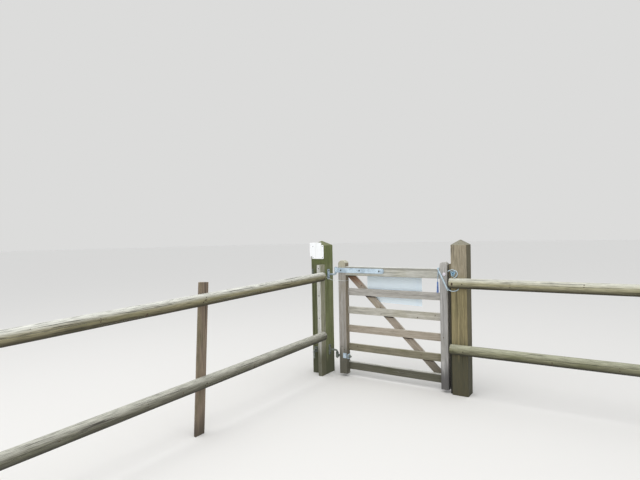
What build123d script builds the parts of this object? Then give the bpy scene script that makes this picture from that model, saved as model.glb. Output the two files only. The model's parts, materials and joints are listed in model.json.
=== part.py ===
from build123d import *
import os
from math import atan2, cos, degrees, radians, sin, tan

# Timber hand gate hung between two square posts, with a wing of half-round rails each side.
# X runs along the gate from the hanging post to the shutting post, Y runs away from the
# approach side and Z is up. The origin is the middle of the hanging post's foot.
# All sizes are in millimetres.

# Square posts
hanging_post_side = 175
shutting_post_side = 150
post_shoulder_height = 1395
post_cap_rise = 48
post_cap_flat = 10
post_edge_radius = 6

# Batten on the front of the hanging post, which takes the ends of the left rails
batten_width = 47
batten_depth = 90
batten_below_plate = 60
batten_edge_chamfer = 3

# Leaf outline
pin_standoff = 97.5
pin_to_heel = 50
leaf_width = 1185
leaf_front = -57
closing_gap = 38
stile_depth = 75
heel_stile_width = 90
head_stile_width = 75
stile_foot = 28
stile_length = 1207
stile_crown = 28
stile_edge_radius = 5

# Leaf rails, from the bottom up
rail_thickness = 25
rail_height = 75
rail_edge_chamfer = 2
bottom_rail_height = 86
bottom_rail_centre = 116
rail_pitch = 196
top_rail_height = 94
top_rail_centre = 1123
top_rail_edge_radius = 5
tenon_shoulder = 15
tenon_thickness = 25
rail_end_inset = 2
joint_gap = 0.3

# Diagonal brace planted on the backs of the rails
brace_width = 75
brace_thickness = 22
brace_top_lap = 4
brace_foot_inset = 30
brace_foot_height = 117
brace_end_inset = 20
brace_below_strap = 6
brace_edge_chamfer = 2

# Sign board and the packers that stand it off the rails
board_width = 600
board_height = 390
board_thickness = 4
board_left = 298
board_bottom = 775
board_corner = 12
packer_width = 40
packer_height = 60
packer_edge = 10

# Double strap hinge
strap_width = 50
strap_thickness = 6
strap_reach = 586
strap_centre = 1130
strap_end_radius = 22
hinge_pin_radius = 9.5
hinge_clearance = 0.05
barrel_wall = 6.5
yoke_bite = 3

# Adjustable eye bolt at the foot of the heel stile
eye_centre = 210
eye_height = 50
eye_bolt_radius = 9.5
eye_bolt_clearance = 0.5
eye_bolt_tail = 32
nut_across_flats = 30
nut_height = 15
washer_side = 50
washer_thickness = 5

# Hooks on plates
hook_plate_width = 38
hook_plate_height = 110
hook_plate_thickness = 8
hook_plate_corner = 6
hook_bend_radius = 20
hook_collar_radius = 15
hook_collar_height = 5
hook_lift_gap = 0.3
hook_pin_spare = 8
hook_pin_chamfer = 2

# Second pair of hooks, on the front of the hanging post
front_hook_offset = -40
front_hook_reach = 45
front_hook_plate_height = 60
front_top_hook_height = 1052
front_hook_pin_length = 66

# Half-round rails and stakes of the two wings
wing_rail_radius = 47.5
wing_rail_chamfer = 5
stake_radius = 45
stake_height = 1164
stake_chamfer = 4
left_bay_length = 1745
left_rail_lap = 45
left_rail_overhang = 60
left_top_rail_height = 1062
left_bottom_rail_height = 426
left_rail_fall = 0.0192
middle_stake_lean = 3.8
right_bay_length = 1800
right_rail_start = 11
right_rail_overhang = 60
right_top_rail_height = 1040
right_bottom_rail_height = 425

# Blank plates on the front of the hanging post
plate_side = 150
plate_thickness = 2
plate_corner = 8
upper_plate_offset = 3
upper_plate_drop = 71
lower_plate_offset = -26
lower_plate_drop = 44

# Small fittings on the stiles
heel_plate_width = 38
heel_plate_height = 52
heel_plate_thickness = 5
heel_plate_edge = 4
heel_plate_centre = 223
stud_radius = 16
stud_crown = 7
stud_chamfer = 5
stud_edge = 29
stud_height = 1119

# Rope loops, knot and hanging tail
rope_diameter = 8
rope_gap = 0.3
leaf_lashing_edge = 11
leaf_lashing_rise = 3
knot_width = 56
knot_depth = 34
knot_chamfer = 10
knot_offset = -50
knot_above_rail = 43.5
rope_end_diameter = 14
rope_end_length = 72
rope_end_chamfer = 4

# Places that follow from the sizes above
hanging_face = hanging_post_side / 2
pin_x = hanging_face + pin_standoff
pin_y = leaf_front + stile_depth / 2
leaf_left = pin_x + pin_to_heel
leaf_right = leaf_left + leaf_width
leaf_back = leaf_front + stile_depth
heel_inner = leaf_left + heel_stile_width
head_inner = leaf_right - head_stile_width
shutting_post_x = leaf_right + closing_gap + shutting_post_side / 2
shutting_front = -shutting_post_side / 2
strap_bottom = strap_centre - strap_width / 2
top_rail_top = top_rail_centre + top_rail_height / 2
tenon_height = top_rail_height - 2 * tenon_shoulder
rope_radius = rope_diameter / 2
rope_offset = rope_radius + rope_gap
barrel_radius = hinge_pin_radius + barrel_wall
batten_front = -hanging_face - batten_depth
batten_height = post_shoulder_height - upper_plate_drop - plate_side / 2 - batten_below_plate

rail_names = ["bottom_rail", "fifth_rail", "fourth_rail", "third_rail", "second_rail"]
rail_heights = [bottom_rail_height] + [rail_height] * (len(rail_names) - 1)
rail_centres = [bottom_rail_centre + rail_pitch * number for number in range(len(rail_names))]

os.makedirs("parts", exist_ok=True)


def save(builder, name):
    """Label a finished piece and write its file."""
    builder.part.label = name
    export_step(builder.part, f"parts/{name}.step")


def front_plane(back):
    """Plane seen from the approach side, at the given Y, whose extrusions come forwards."""
    return Plane.XZ.offset(-back)


def square_post(side, centre_x):
    """Square sawn post with a four-way weathered top."""
    with BuildPart() as post:
        with BuildSketch(Plane((centre_x, 0, 0))):
            RectangleRounded(side, side, post_edge_radius)
        extrude(amount=post_shoulder_height)
        with BuildSketch(Plane((centre_x, 0, post_shoulder_height))):
            RectangleRounded(side, side, post_edge_radius)
        with BuildSketch(Plane((centre_x, 0, post_shoulder_height + post_cap_rise))):
            RectangleRounded(post_cap_flat, post_cap_flat, post_cap_flat * post_edge_radius / side)
        loft(ruled=True)
    return post


def half_round(plane, radius, length, end_chamfer):
    """Split round pole, its flat on the plane's Y axis and its round side towards +X."""
    with BuildPart() as pole:
        with BuildSketch(plane):
            with BuildLine():
                CenterArc((0, 0), radius, -90, 180)
                Line((0, radius), (0, -radius))
            make_face()
        extrude(amount=length)
        chamfer(pole.edges().filter_by(GeomType.CIRCLE), end_chamfer)
    return pole


def stile(left, width):
    """Leaf upright with a segmental top, before its joints are cut."""
    right = left + width
    spring = stile_foot + stile_length - stile_crown
    with BuildPart() as upright:
        with BuildSketch(front_plane(leaf_back)):
            with BuildLine():
                Polyline((left, spring), (left, stile_foot), (right, stile_foot), (right, spring))
                ThreePointArc((right, spring), (left + width / 2, spring + stile_crown), (left, spring))
            make_face()
        extrude(amount=stile_depth)
        fillet(upright.edges().filter_by(Axis.Z), stile_edge_radius)
        with BuildSketch(front_plane(leaf_back)):
            for height, centre in zip(rail_heights, rail_centres):
                with Locations((left + width / 2, centre)):
                    Rectangle(width, height + 2 * joint_gap)
        extrude(amount=rail_thickness, mode=Mode.SUBTRACT)
        with BuildSketch(Plane.YZ.offset(left)):
            with Locations((pin_y, top_rail_centre)):
                Rectangle(tenon_thickness + 2 * joint_gap, tenon_height + 2 * joint_gap)
        extrude(amount=width, mode=Mode.SUBTRACT)
    return upright


def hook(face, reach, plate_height, pin_height):
    """Forged hook on a plate, with X of its plane out of the post and Y along the pin.

    The arm is hammered to eight sides and bent, and the pin above its collar is round.
    """
    plate_plane = Plane(origin=face.origin, x_dir=face.z_dir, z_dir=face.x_dir)
    collar_plane = Plane(origin=face.from_local_coords((reach, hook_bend_radius, 0)), z_dir=face.y_dir)
    with BuildPart() as fitting:
        with BuildSketch(plate_plane):
            RectangleRounded(hook_plate_width, plate_height, hook_plate_corner)
        extrude(amount=hook_plate_thickness)
        with BuildLine(face) as centre_line:
            RadiusArc((reach - hook_bend_radius, 0), (reach, hook_bend_radius), -hook_bend_radius)
            Line((0, 0), (reach - hook_bend_radius, 0))
        with BuildSketch(plate_plane):
            RegularPolygon(hinge_pin_radius, 8, major_radius=False, rotation=180 / 8)
        sweep(path=centre_line.wire())
        with BuildSketch(collar_plane):
            Circle(hook_collar_radius)
        extrude(amount=hook_collar_height)
        with BuildSketch(collar_plane):
            Circle(hinge_pin_radius)
        extrude(amount=pin_height - hook_bend_radius)
        round_edges = fitting.edges().filter_by(GeomType.CIRCLE)
        chamfer(round_edges.sort_by(Axis(face.origin, face.y_dir))[-1], hook_pin_chamfer)
    return fitting


def stake(foot, round_side, lean):
    """Half-round stake, its flat side through the foot point, cut level at the ground."""
    direction = Vector(0, sin(radians(lean)), cos(radians(lean)))
    start = Vector(foot) - direction * stake_radius
    section = Plane(origin=start, x_dir=round_side, z_dir=direction)
    with BuildPart() as pole:
        with BuildSketch(section):
            with BuildLine():
                CenterArc((0, 0), stake_radius, -90, 180)
                Line((0, stake_radius), (0, -stake_radius))
            make_face()
        extrude(amount=stake_height / direction.Z + stake_radius)
        chamfer(pole.edges().filter_by(GeomType.CIRCLE).sort_by(Axis.Z)[-1], stake_chamfer)
        split(bisect_by=Plane.XY, keep=Keep.TOP)
    return pole


def square_loop(plane, length, width, corner):
    """Rope pulled tight round a square section, centred on the plane."""
    half_length = length / 2
    half_width = width / 2
    with BuildPart() as loop:
        with BuildLine(plane) as path:
            FilletPolyline(
                (-half_length, -half_width),
                (half_length, -half_width),
                (half_length, half_width),
                (-half_length, half_width),
                radius=corner,
                close=True,
            )
        with BuildSketch(Plane(origin=path.wire() @ 0, z_dir=path.wire() % 0)):
            RegularPolygon(rope_radius, 8)
        sweep(path=path.wire())
    return loop


def rope_run(name, points):
    """Rope along a route, each bend as large as the runs beside it allow."""
    bends = []
    for before, corner, after in zip(points, points[1:], points[2:]):
        run_in = Vector(corner) - Vector(before)
        run_out = Vector(after) - Vector(corner)
        half_turn = radians(run_in.get_angle(run_out)) / 2
        bends.append(0.45 * min(run_in.length, run_out.length) / tan(half_turn))
    print(f"{name} bend radii:", [round(bend) for bend in bends])
    with BuildPart() as run:
        with BuildLine() as path:
            FilletPolyline(*points, radius=bends)
        with BuildSketch(Plane(origin=path.wire() @ 0, z_dir=path.wire() % 0)):
            RegularPolygon(rope_radius, 8)
        sweep(path=path.wire())
    return run


# Posts and batten
hanging_post = square_post(hanging_post_side, 0)
save(hanging_post, "hanging_post")

shutting_post = square_post(shutting_post_side, shutting_post_x)
save(shutting_post, "shutting_post")

with BuildPart() as batten:
    with BuildSketch():
        with Locations((hanging_face - batten_width / 2, -hanging_face - batten_depth / 2)):
            Rectangle(batten_width, batten_depth)
    extrude(amount=batten_height)
    chamfer(batten.edges().filter_by(Axis.Z).group_by(Axis.Y)[0], batten_edge_chamfer)
save(batten, "hanging_batten")

# Blank plates, one lapped over the other
with BuildPart() as lower_plate:
    with BuildSketch(front_plane(-hanging_face)):
        with Locations((lower_plate_offset, post_shoulder_height - lower_plate_drop)):
            RectangleRounded(plate_side, plate_side, plate_corner)
    extrude(amount=plate_thickness)
save(lower_plate, "lower_plate")

with BuildPart() as upper_plate:
    with BuildSketch(front_plane(-hanging_face - plate_thickness)):
        with Locations((upper_plate_offset, post_shoulder_height - upper_plate_drop)):
            RectangleRounded(plate_side, plate_side, plate_corner)
    extrude(amount=plate_thickness)
save(upper_plate, "upper_plate")

# Left wing, square to the gate, falling gently away from the hanging post
left_start = batten_front + left_rail_lap
fall_angle = atan2(left_rail_fall, 1)
left_direction = (0, -cos(fall_angle), -sin(fall_angle))
left_length = (2 * left_bay_length + left_rail_overhang) / cos(fall_angle)
left_rails = (("left_top_rail", left_top_rail_height), ("left_bottom_rail", left_bottom_rail_height))
for name, height in left_rails:
    left_end = Plane(origin=(hanging_face, left_start, height), x_dir=(1, 0, 0), z_dir=left_direction)
    save(half_round(left_end, wing_rail_radius, left_length, wing_rail_chamfer), name)

middle_foot = left_start - left_bay_length - tan(radians(middle_stake_lean)) * stake_height / 2
middle_stake = stake((hanging_face, middle_foot, 0), (-1, 0, 0), middle_stake_lean)
save(middle_stake, "left_middle_stake")

left_end_stake = stake((hanging_face, left_start - 2 * left_bay_length, 0), (-1, 0, 0), 0)
save(left_end_stake, "left_end_stake")

# Right wing, in line with the gate
right_start = shutting_post_x - shutting_post_side / 2 - right_rail_start
right_stake_x = shutting_post_x + right_bay_length
right_length = right_stake_x + right_rail_overhang - right_start
right_rails = (("right_top_rail", right_top_rail_height), ("right_bottom_rail", right_bottom_rail_height))
for name, height in right_rails:
    right_end = Plane(origin=(right_start, shutting_front, height), x_dir=(0, -1, 0), z_dir=(1, 0, 0))
    save(half_round(right_end, wing_rail_radius, right_length, wing_rail_chamfer), name)

right_end_stake = stake((right_stake_x, shutting_front, 0), (0, 1, 0), 0)
save(right_end_stake, "right_end_stake")

# Gate hooks: the top one stands up and carries the leaf, the lower one hangs down and
# stops the leaf from being lifted off
hook_seat = hook_bend_radius + hook_collar_height + hook_lift_gap
top_hook_height = strap_bottom - hook_seat
top_hook_plane = Plane(origin=(hanging_face, pin_y, top_hook_height), x_dir=(1, 0, 0), z_dir=(0, -1, 0))
top_pin_height = hook_seat + strap_width + hook_pin_spare
top_hook = hook(top_hook_plane, pin_standoff, hook_plate_height, top_pin_height)
save(top_hook, "top_hook")

bottom_hook_height = eye_centre + eye_height / 2 + hook_seat
bottom_hook_plane = Plane(origin=(hanging_face, pin_y, bottom_hook_height), x_dir=(1, 0, 0), z_dir=(0, 1, 0))
bottom_pin_height = hook_seat + eye_height + hook_pin_spare
bottom_hook = hook(bottom_hook_plane, pin_standoff, hook_plate_height, bottom_pin_height)
save(bottom_hook, "bottom_hook")

# Hooks on the front face for a leaf hung on the other side of the post, one up and one down too
front_pin_height = hook_bend_radius + hook_collar_height + front_hook_pin_length
front_hooks = (("front_top_hook", front_top_hook_height, -1), ("front_bottom_hook", bottom_hook_height, 1))
for name, height, side in front_hooks:
    front_spot = (front_hook_offset, -hanging_face, height)
    front_face = Plane(origin=front_spot, x_dir=(0, -1, 0), z_dir=(side, 0, 0))
    save(hook(front_face, front_hook_reach, front_hook_plate_height, front_pin_height), name)

# Stiles, housed at the back for the rails and mortised for the top rail
with BuildPart() as heel_stile:
    add(stile(leaf_left, heel_stile_width).part)
    with BuildSketch(Plane.YZ.offset(leaf_left)):
        with Locations((pin_y, eye_centre)):
            Circle(eye_bolt_radius + eye_bolt_clearance)
    extrude(amount=heel_stile_width, mode=Mode.SUBTRACT)
save(heel_stile, "heel_stile")

head_stile = stile(head_inner, head_stile_width)
save(head_stile, "head_stile")

# Rails let flush into the backs of the stiles
for name, height, centre in zip(rail_names, rail_heights, rail_centres):
    with BuildPart() as rail:
        with BuildSketch(front_plane(leaf_back)):
            with Locations(((leaf_left + leaf_right) / 2, centre)):
                Rectangle(leaf_width - 2 * rail_end_inset, height)
        extrude(amount=rail_thickness)
        chamfer(rail.edges().filter_by(Axis.X).group_by(Axis.Y)[0], rail_edge_chamfer)
    save(rail, name)

# Top rail, as deep as the stiles and tenoned right through them
with BuildPart() as top_rail:
    with BuildSketch(Plane.YZ.offset(heel_inner)):
        with Locations((pin_y, top_rail_centre)):
            Rectangle(stile_depth, top_rail_height)
    extrude(amount=head_inner - heel_inner)
    fillet(top_rail.edges().filter_by(Axis.X), top_rail_edge_radius)
    with BuildSketch(Plane.YZ.offset(leaf_left)):
        with Locations((pin_y, top_rail_centre)):
            Rectangle(tenon_thickness, tenon_height)
    extrude(amount=leaf_width)
save(top_rail, "top_rail")

# Brace from the heel stile, under the hinge strap, to the bottom rail's end, where it is cut
# level with the rail's foot
brace_top = strap_bottom - brace_below_strap
brace_top_x = heel_inner - brace_top_lap
brace_foot_x = head_inner - brace_foot_inset
brace_foot = stile_foot + brace_foot_height
brace_run = Vector(brace_foot_x - brace_top_x, brace_foot - brace_top)
brace_angle = degrees(atan2(brace_run.Y, brace_run.X))
brace_right = leaf_right - brace_end_inset
brace_end = bottom_rail_centre - bottom_rail_height / 2
with BuildPart() as brace:
    with BuildSketch(front_plane(leaf_back + brace_thickness)):
        with Locations(((brace_top_x + brace_foot_x) / 2, (brace_top + brace_foot) / 2)):
            Rectangle(brace_run.length + 3 * brace_width, brace_width, rotation=brace_angle)
        with Locations(((leaf_left + brace_right) / 2, (brace_end + brace_top) / 2)):
            Rectangle(brace_right - leaf_left, brace_top - brace_end, mode=Mode.INTERSECT)
    extrude(amount=brace_thickness)
    chamfer(brace.edges().group_by(Axis.Y)[-1], brace_edge_chamfer)
save(brace, "diagonal_brace")

# Board on the back, held off the rails by packers as thick as the brace
board_left_x = leaf_left + board_left
board_right_x = board_left_x + board_width
board_back = leaf_back + brace_thickness
with BuildPart() as board:
    with BuildSketch(front_plane(board_back + board_thickness)):
        with Locations(((board_left_x + board_right_x) / 2, board_bottom + board_height / 2)):
            RectangleRounded(board_width, board_height, board_corner)
    extrude(amount=board_thickness)
save(board, "sign_board")

strap_end_x = pin_x + strap_reach
packer_left = strap_end_x + packer_edge + packer_width / 2
packer_right = board_right_x - packer_edge - packer_width / 2
packer_spots = [
    (packer_left, top_rail_centre),
    (packer_right, top_rail_centre),
    (packer_right, rail_centres[-1]),
]
with BuildPart() as packers:
    with BuildSketch(front_plane(board_back)):
        with Locations(*packer_spots):
            Rectangle(packer_width, packer_height)
    extrude(amount=brace_thickness)
save(packers, "board_packers")

# Double strap, bent round the heel stile and the top rail behind a rolled eye
yoke_left = pin_x + barrel_radius - yoke_bite
with BuildPart() as strap:
    with BuildSketch(Plane.XY.offset(strap_bottom)):
        with Locations((yoke_left, pin_y)):
            Rectangle(
                strap_end_x - yoke_left,
                stile_depth + 2 * strap_thickness,
                align=(Align.MIN, Align.CENTER),
            )
        with Locations((yoke_left + strap_thickness, pin_y)):
            Rectangle(strap_reach, stile_depth, align=(Align.MIN, Align.CENTER), mode=Mode.SUBTRACT)
        with Locations((pin_x, pin_y)):
            Circle(barrel_radius)
            Circle(hinge_pin_radius + hinge_clearance, mode=Mode.SUBTRACT)
    extrude(amount=strap_width)
    fillet(strap.edges().filter_by(Axis.Y).group_by(Axis.X)[-1], strap_end_radius)
save(strap, "double_strap")

# Eye bolt through the heel stile, with a nut each side of it
eye_bolt_length = heel_inner + eye_bolt_tail - pin_x
left_nut_x = leaf_left - washer_thickness - nut_height
right_nut_x = heel_inner + washer_thickness
with BuildPart() as eye_bolt:
    with BuildSketch(Plane(origin=(pin_x, pin_y, eye_centre), x_dir=(0, 1, 0), z_dir=(1, 0, 0))):
        Circle(eye_bolt_radius)
    extrude(amount=eye_bolt_length)
    for nut_x in (left_nut_x, right_nut_x):
        with BuildSketch(Plane(origin=(nut_x, pin_y, eye_centre), x_dir=(0, 1, 0), z_dir=(1, 0, 0))):
            RegularPolygon(nut_across_flats / 2, 6, major_radius=False)
        extrude(amount=nut_height)
    with BuildSketch(Plane((pin_x, pin_y, eye_centre - eye_height / 2))):
        Circle(barrel_radius)
    extrude(amount=eye_height)
    with BuildSketch(Plane((pin_x, pin_y, eye_centre - eye_height / 2))):
        Circle(hinge_pin_radius + hinge_clearance)
    extrude(amount=eye_height, mode=Mode.SUBTRACT)
save(eye_bolt, "eye_bolt")

with BuildPart() as washers:
    for washer_x in (leaf_left - washer_thickness, heel_inner):
        with BuildSketch(Plane(origin=(washer_x, pin_y, eye_centre), x_dir=(0, 1, 0), z_dir=(1, 0, 0))):
            Rectangle(washer_side, washer_side)
            Circle(eye_bolt_radius + eye_bolt_clearance, mode=Mode.SUBTRACT)
        extrude(amount=washer_thickness)
save(washers, "eye_bolt_washers")

# Square plate on the heel stile and round stud on the head stile
with BuildPart() as heel_plate:
    with BuildSketch(front_plane(leaf_front)):
        with Locations((heel_inner - heel_plate_edge - heel_plate_width / 2, heel_plate_centre)):
            Rectangle(heel_plate_width, heel_plate_height)
    extrude(amount=heel_plate_thickness)
save(heel_plate, "heel_plate")

with BuildPart() as stud:
    with BuildSketch(front_plane(leaf_front)):
        with Locations((leaf_right - stud_edge, stud_height)):
            Circle(stud_radius)
    extrude(amount=stud_crown)
    chamfer(stud.edges().group_by(Axis.Y)[0], stud_chamfer)
save(stud, "head_stud")

# Rope on the post's front, its bights pinched behind the right top rail: one hangs below the
# rail and one stands above it. Each route runs from the gate's side to the rail, and is given
# from the rail's end and from its foot or its top.
rope_face = shutting_front - rope_offset
top_rail_foot = right_top_rail_height - wing_rail_radius
top_rail_crest = right_top_rail_height + wing_rail_radius
lower_bight = [(-13, -11.5), (12, -32.5), (50, -31.5), (75, -18.5), (84.6, -2.5)]
upper_bight = [(-13, 62.5), (15, 78.5), (49, 74.5), (74, 59.5), (77, 32.5), (61, 11.5), (42, 4.2)]
lower_route = [(right_start + along, rope_face, top_rail_foot + up) for along, up in lower_bight]
upper_route = [(right_start + along, rope_face, top_rail_crest + up) for along, up in upper_bight]
with BuildPart() as post_lashings:
    add(rope_run("lower bight", lower_route).part)
    add(rope_run("upper bight", upper_route).part)
save(post_lashings, "post_lashings")

with BuildPart() as knot:
    with BuildSketch(front_plane(shutting_front - rope_gap)):
        with Locations((shutting_post_x + knot_offset, top_rail_crest + knot_above_rail)):
            RegularPolygon(knot_width / 2, 8, major_radius=False)
    extrude(amount=knot_depth)
    chamfer(knot.edges().group_by(Axis.Y)[0], knot_chamfer)
save(knot, "post_knot")

# Slanting rope loop over the end of the top rail and round the head stile
loop_top = Vector(head_inner - leaf_lashing_edge, pin_y, top_rail_top + rope_offset)
loop_foot = Vector(leaf_right + rope_offset, pin_y, lower_route[0][2] + leaf_lashing_rise)
loop_run = loop_foot - loop_top
slant_plane = Plane(origin=(loop_top + loop_foot) / 2, x_dir=loop_run, z_dir=loop_run.cross(Vector(0, 1, 0)))
loop_depth = stile_depth + 2 * rope_offset
leaf_lashing = square_loop(slant_plane, loop_run.length, loop_depth, stile_edge_radius + rope_offset)
save(leaf_lashing, "leaf_lashing")

# Loose end of the rope, hanging from the slanting loop in front of the rails
tail_points = [
    (1338, -61.3, 1165),
    (1335, -65.3, 1112),
    (1330, -64.3, 1060),
    (1330, -64.3, 1012),
]
save(rope_run("tail", tail_points), "rope_tail")

with BuildPart() as rope_end:
    with BuildSketch(Plane(tail_points[-1])):
        Circle(rope_end_diameter / 2)
    extrude(amount=-rope_end_length)
    chamfer(rope_end.edges().sort_by(Axis.Z)[0], rope_end_chamfer)
save(rope_end, "rope_end")
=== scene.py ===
"""Weathered timber hand gate between two posts, with its wings of half-round rails."""

import json
import logging
import math
import random
from dataclasses import dataclass, field
from enum import Enum
from typing import Callable

import bpy
from mathutils import Matrix, Vector
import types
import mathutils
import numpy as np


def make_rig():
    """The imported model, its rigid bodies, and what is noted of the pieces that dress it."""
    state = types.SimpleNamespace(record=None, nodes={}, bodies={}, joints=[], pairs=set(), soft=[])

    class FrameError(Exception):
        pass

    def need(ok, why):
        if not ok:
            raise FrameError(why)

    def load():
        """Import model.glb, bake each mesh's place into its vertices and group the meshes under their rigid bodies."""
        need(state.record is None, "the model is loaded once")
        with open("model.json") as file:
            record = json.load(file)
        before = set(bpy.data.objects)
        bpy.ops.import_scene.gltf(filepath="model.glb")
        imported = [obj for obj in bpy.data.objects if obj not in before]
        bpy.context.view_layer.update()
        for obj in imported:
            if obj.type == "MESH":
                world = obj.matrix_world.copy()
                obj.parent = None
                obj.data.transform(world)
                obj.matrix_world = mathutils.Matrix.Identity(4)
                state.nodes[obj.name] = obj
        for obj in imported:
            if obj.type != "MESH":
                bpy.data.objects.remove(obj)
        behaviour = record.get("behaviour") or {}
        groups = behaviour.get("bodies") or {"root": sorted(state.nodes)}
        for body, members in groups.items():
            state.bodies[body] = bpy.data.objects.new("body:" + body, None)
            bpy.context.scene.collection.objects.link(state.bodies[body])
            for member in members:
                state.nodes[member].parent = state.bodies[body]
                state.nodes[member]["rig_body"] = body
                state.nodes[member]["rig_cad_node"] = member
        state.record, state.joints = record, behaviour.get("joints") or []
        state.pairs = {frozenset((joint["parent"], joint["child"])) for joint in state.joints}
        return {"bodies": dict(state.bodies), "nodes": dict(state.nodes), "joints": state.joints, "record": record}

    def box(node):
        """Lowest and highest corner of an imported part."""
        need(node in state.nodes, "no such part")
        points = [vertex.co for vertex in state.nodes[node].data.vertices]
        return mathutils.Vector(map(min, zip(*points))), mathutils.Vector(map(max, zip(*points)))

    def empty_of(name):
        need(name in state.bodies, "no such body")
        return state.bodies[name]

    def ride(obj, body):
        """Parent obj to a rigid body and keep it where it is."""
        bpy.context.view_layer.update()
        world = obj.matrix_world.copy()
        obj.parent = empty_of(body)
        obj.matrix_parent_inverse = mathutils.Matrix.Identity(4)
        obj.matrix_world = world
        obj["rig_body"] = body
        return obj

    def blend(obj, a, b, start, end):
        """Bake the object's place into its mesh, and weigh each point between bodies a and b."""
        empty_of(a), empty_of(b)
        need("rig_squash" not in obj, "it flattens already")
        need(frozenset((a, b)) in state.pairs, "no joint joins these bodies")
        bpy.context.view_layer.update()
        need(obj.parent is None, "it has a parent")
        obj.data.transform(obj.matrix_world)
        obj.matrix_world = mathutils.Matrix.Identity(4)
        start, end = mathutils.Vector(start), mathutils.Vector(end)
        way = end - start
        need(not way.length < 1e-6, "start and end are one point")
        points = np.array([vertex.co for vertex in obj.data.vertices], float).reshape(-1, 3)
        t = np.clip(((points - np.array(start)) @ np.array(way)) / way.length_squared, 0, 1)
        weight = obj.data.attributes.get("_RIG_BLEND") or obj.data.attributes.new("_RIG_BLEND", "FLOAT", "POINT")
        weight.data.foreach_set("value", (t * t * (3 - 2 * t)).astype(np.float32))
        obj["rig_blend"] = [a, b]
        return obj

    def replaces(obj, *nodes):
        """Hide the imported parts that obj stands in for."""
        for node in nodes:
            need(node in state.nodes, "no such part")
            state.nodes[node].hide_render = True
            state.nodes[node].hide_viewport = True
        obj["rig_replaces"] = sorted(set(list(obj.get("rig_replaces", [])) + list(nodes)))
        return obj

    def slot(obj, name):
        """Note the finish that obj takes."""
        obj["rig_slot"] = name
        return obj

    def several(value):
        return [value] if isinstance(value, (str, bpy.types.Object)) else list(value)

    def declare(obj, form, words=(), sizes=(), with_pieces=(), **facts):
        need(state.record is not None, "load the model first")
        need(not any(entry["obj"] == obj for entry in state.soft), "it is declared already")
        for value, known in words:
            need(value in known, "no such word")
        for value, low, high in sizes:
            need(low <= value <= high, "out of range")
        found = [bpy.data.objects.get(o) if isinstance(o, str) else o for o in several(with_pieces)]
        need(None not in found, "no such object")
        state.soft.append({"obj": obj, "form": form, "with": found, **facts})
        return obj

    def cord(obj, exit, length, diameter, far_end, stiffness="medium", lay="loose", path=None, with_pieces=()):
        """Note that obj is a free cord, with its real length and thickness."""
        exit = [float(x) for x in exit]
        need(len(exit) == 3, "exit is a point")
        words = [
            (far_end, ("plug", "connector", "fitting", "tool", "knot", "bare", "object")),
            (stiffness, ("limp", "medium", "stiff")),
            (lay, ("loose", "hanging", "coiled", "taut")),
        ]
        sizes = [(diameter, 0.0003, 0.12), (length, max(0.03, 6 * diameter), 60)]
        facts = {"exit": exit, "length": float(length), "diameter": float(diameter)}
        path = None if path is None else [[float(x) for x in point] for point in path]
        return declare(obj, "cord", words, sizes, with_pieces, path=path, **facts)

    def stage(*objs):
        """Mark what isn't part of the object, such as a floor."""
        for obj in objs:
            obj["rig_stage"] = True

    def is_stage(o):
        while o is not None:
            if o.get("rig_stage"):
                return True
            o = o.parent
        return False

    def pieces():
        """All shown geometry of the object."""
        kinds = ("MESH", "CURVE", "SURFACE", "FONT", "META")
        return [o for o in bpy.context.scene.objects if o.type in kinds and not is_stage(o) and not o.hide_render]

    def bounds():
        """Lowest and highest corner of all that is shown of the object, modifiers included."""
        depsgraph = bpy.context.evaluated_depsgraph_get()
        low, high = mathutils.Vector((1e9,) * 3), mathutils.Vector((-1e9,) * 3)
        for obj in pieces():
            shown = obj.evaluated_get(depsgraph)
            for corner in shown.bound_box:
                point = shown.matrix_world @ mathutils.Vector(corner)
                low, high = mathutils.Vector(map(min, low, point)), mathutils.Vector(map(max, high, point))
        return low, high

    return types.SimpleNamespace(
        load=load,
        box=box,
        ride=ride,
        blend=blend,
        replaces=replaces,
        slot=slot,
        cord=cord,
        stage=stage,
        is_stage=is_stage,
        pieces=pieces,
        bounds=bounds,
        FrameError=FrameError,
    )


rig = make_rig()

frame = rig.load()
CAD_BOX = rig.bounds()

Material = bpy.types.Material
Piece = bpy.types.Object
Socket = bpy.types.NodeSocket
Point = tuple[float, float, float]
Spot = tuple[Vector, Vector]
Test = Callable[[list[Vector]], bool]

LOG = logging.getLogger("hand_gate")
MM = 0.001
TOUCH = 0.01 * MM
FENCE = "fence"
LEAF = "leaf"
FRONT = Vector((0.0, -1.0, 0.0))
BACK = Vector((0.0, 1.0, 0.0))
RIGHT = Vector((1.0, 0.0, 0.0))
LEFT = Vector((-1.0, 0.0, 0.0))
UP = Vector((0.0, 0.0, 1.0))
ORIGIN = Vector((0.0, 0.0, 0.0))
BRACE_TOP = Vector((0.321, 0.0, 1.099))
BRACE_FOOT = Vector((1.315, 0.0, 0.145))
BRACE_RUN = BRACE_FOOT - BRACE_TOP
BRACE_TURN = math.atan2(BRACE_RUN.x, BRACE_RUN.z)
SEAT_GAP = 0.3 * MM
TENON_THICK = 25 * MM
TENON_HIGH = 64 * MM


class Grain(Enum):
    """Turn that brings a pattern's long axis onto a timber's grain."""

    UPRIGHT = (0.0, 0.0, 0.0)
    ALONG_X = (0.0, math.radians(90), 0.0)
    ALONG_Y = (math.radians(90), 0.0, 0.0)
    BRACE = (0.0, BRACE_TURN, 0.0)

    @property
    def axis(self) -> int:
        """Number of the axis that the grain follows."""
        return {"ALONG_X": 0, "ALONG_Y": 1}.get(self.name, 2)


class Part(Enum):
    """Kind of mesh element that edit mode selects."""

    EDGE = "EDGE"
    FACE = "FACE"


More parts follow.
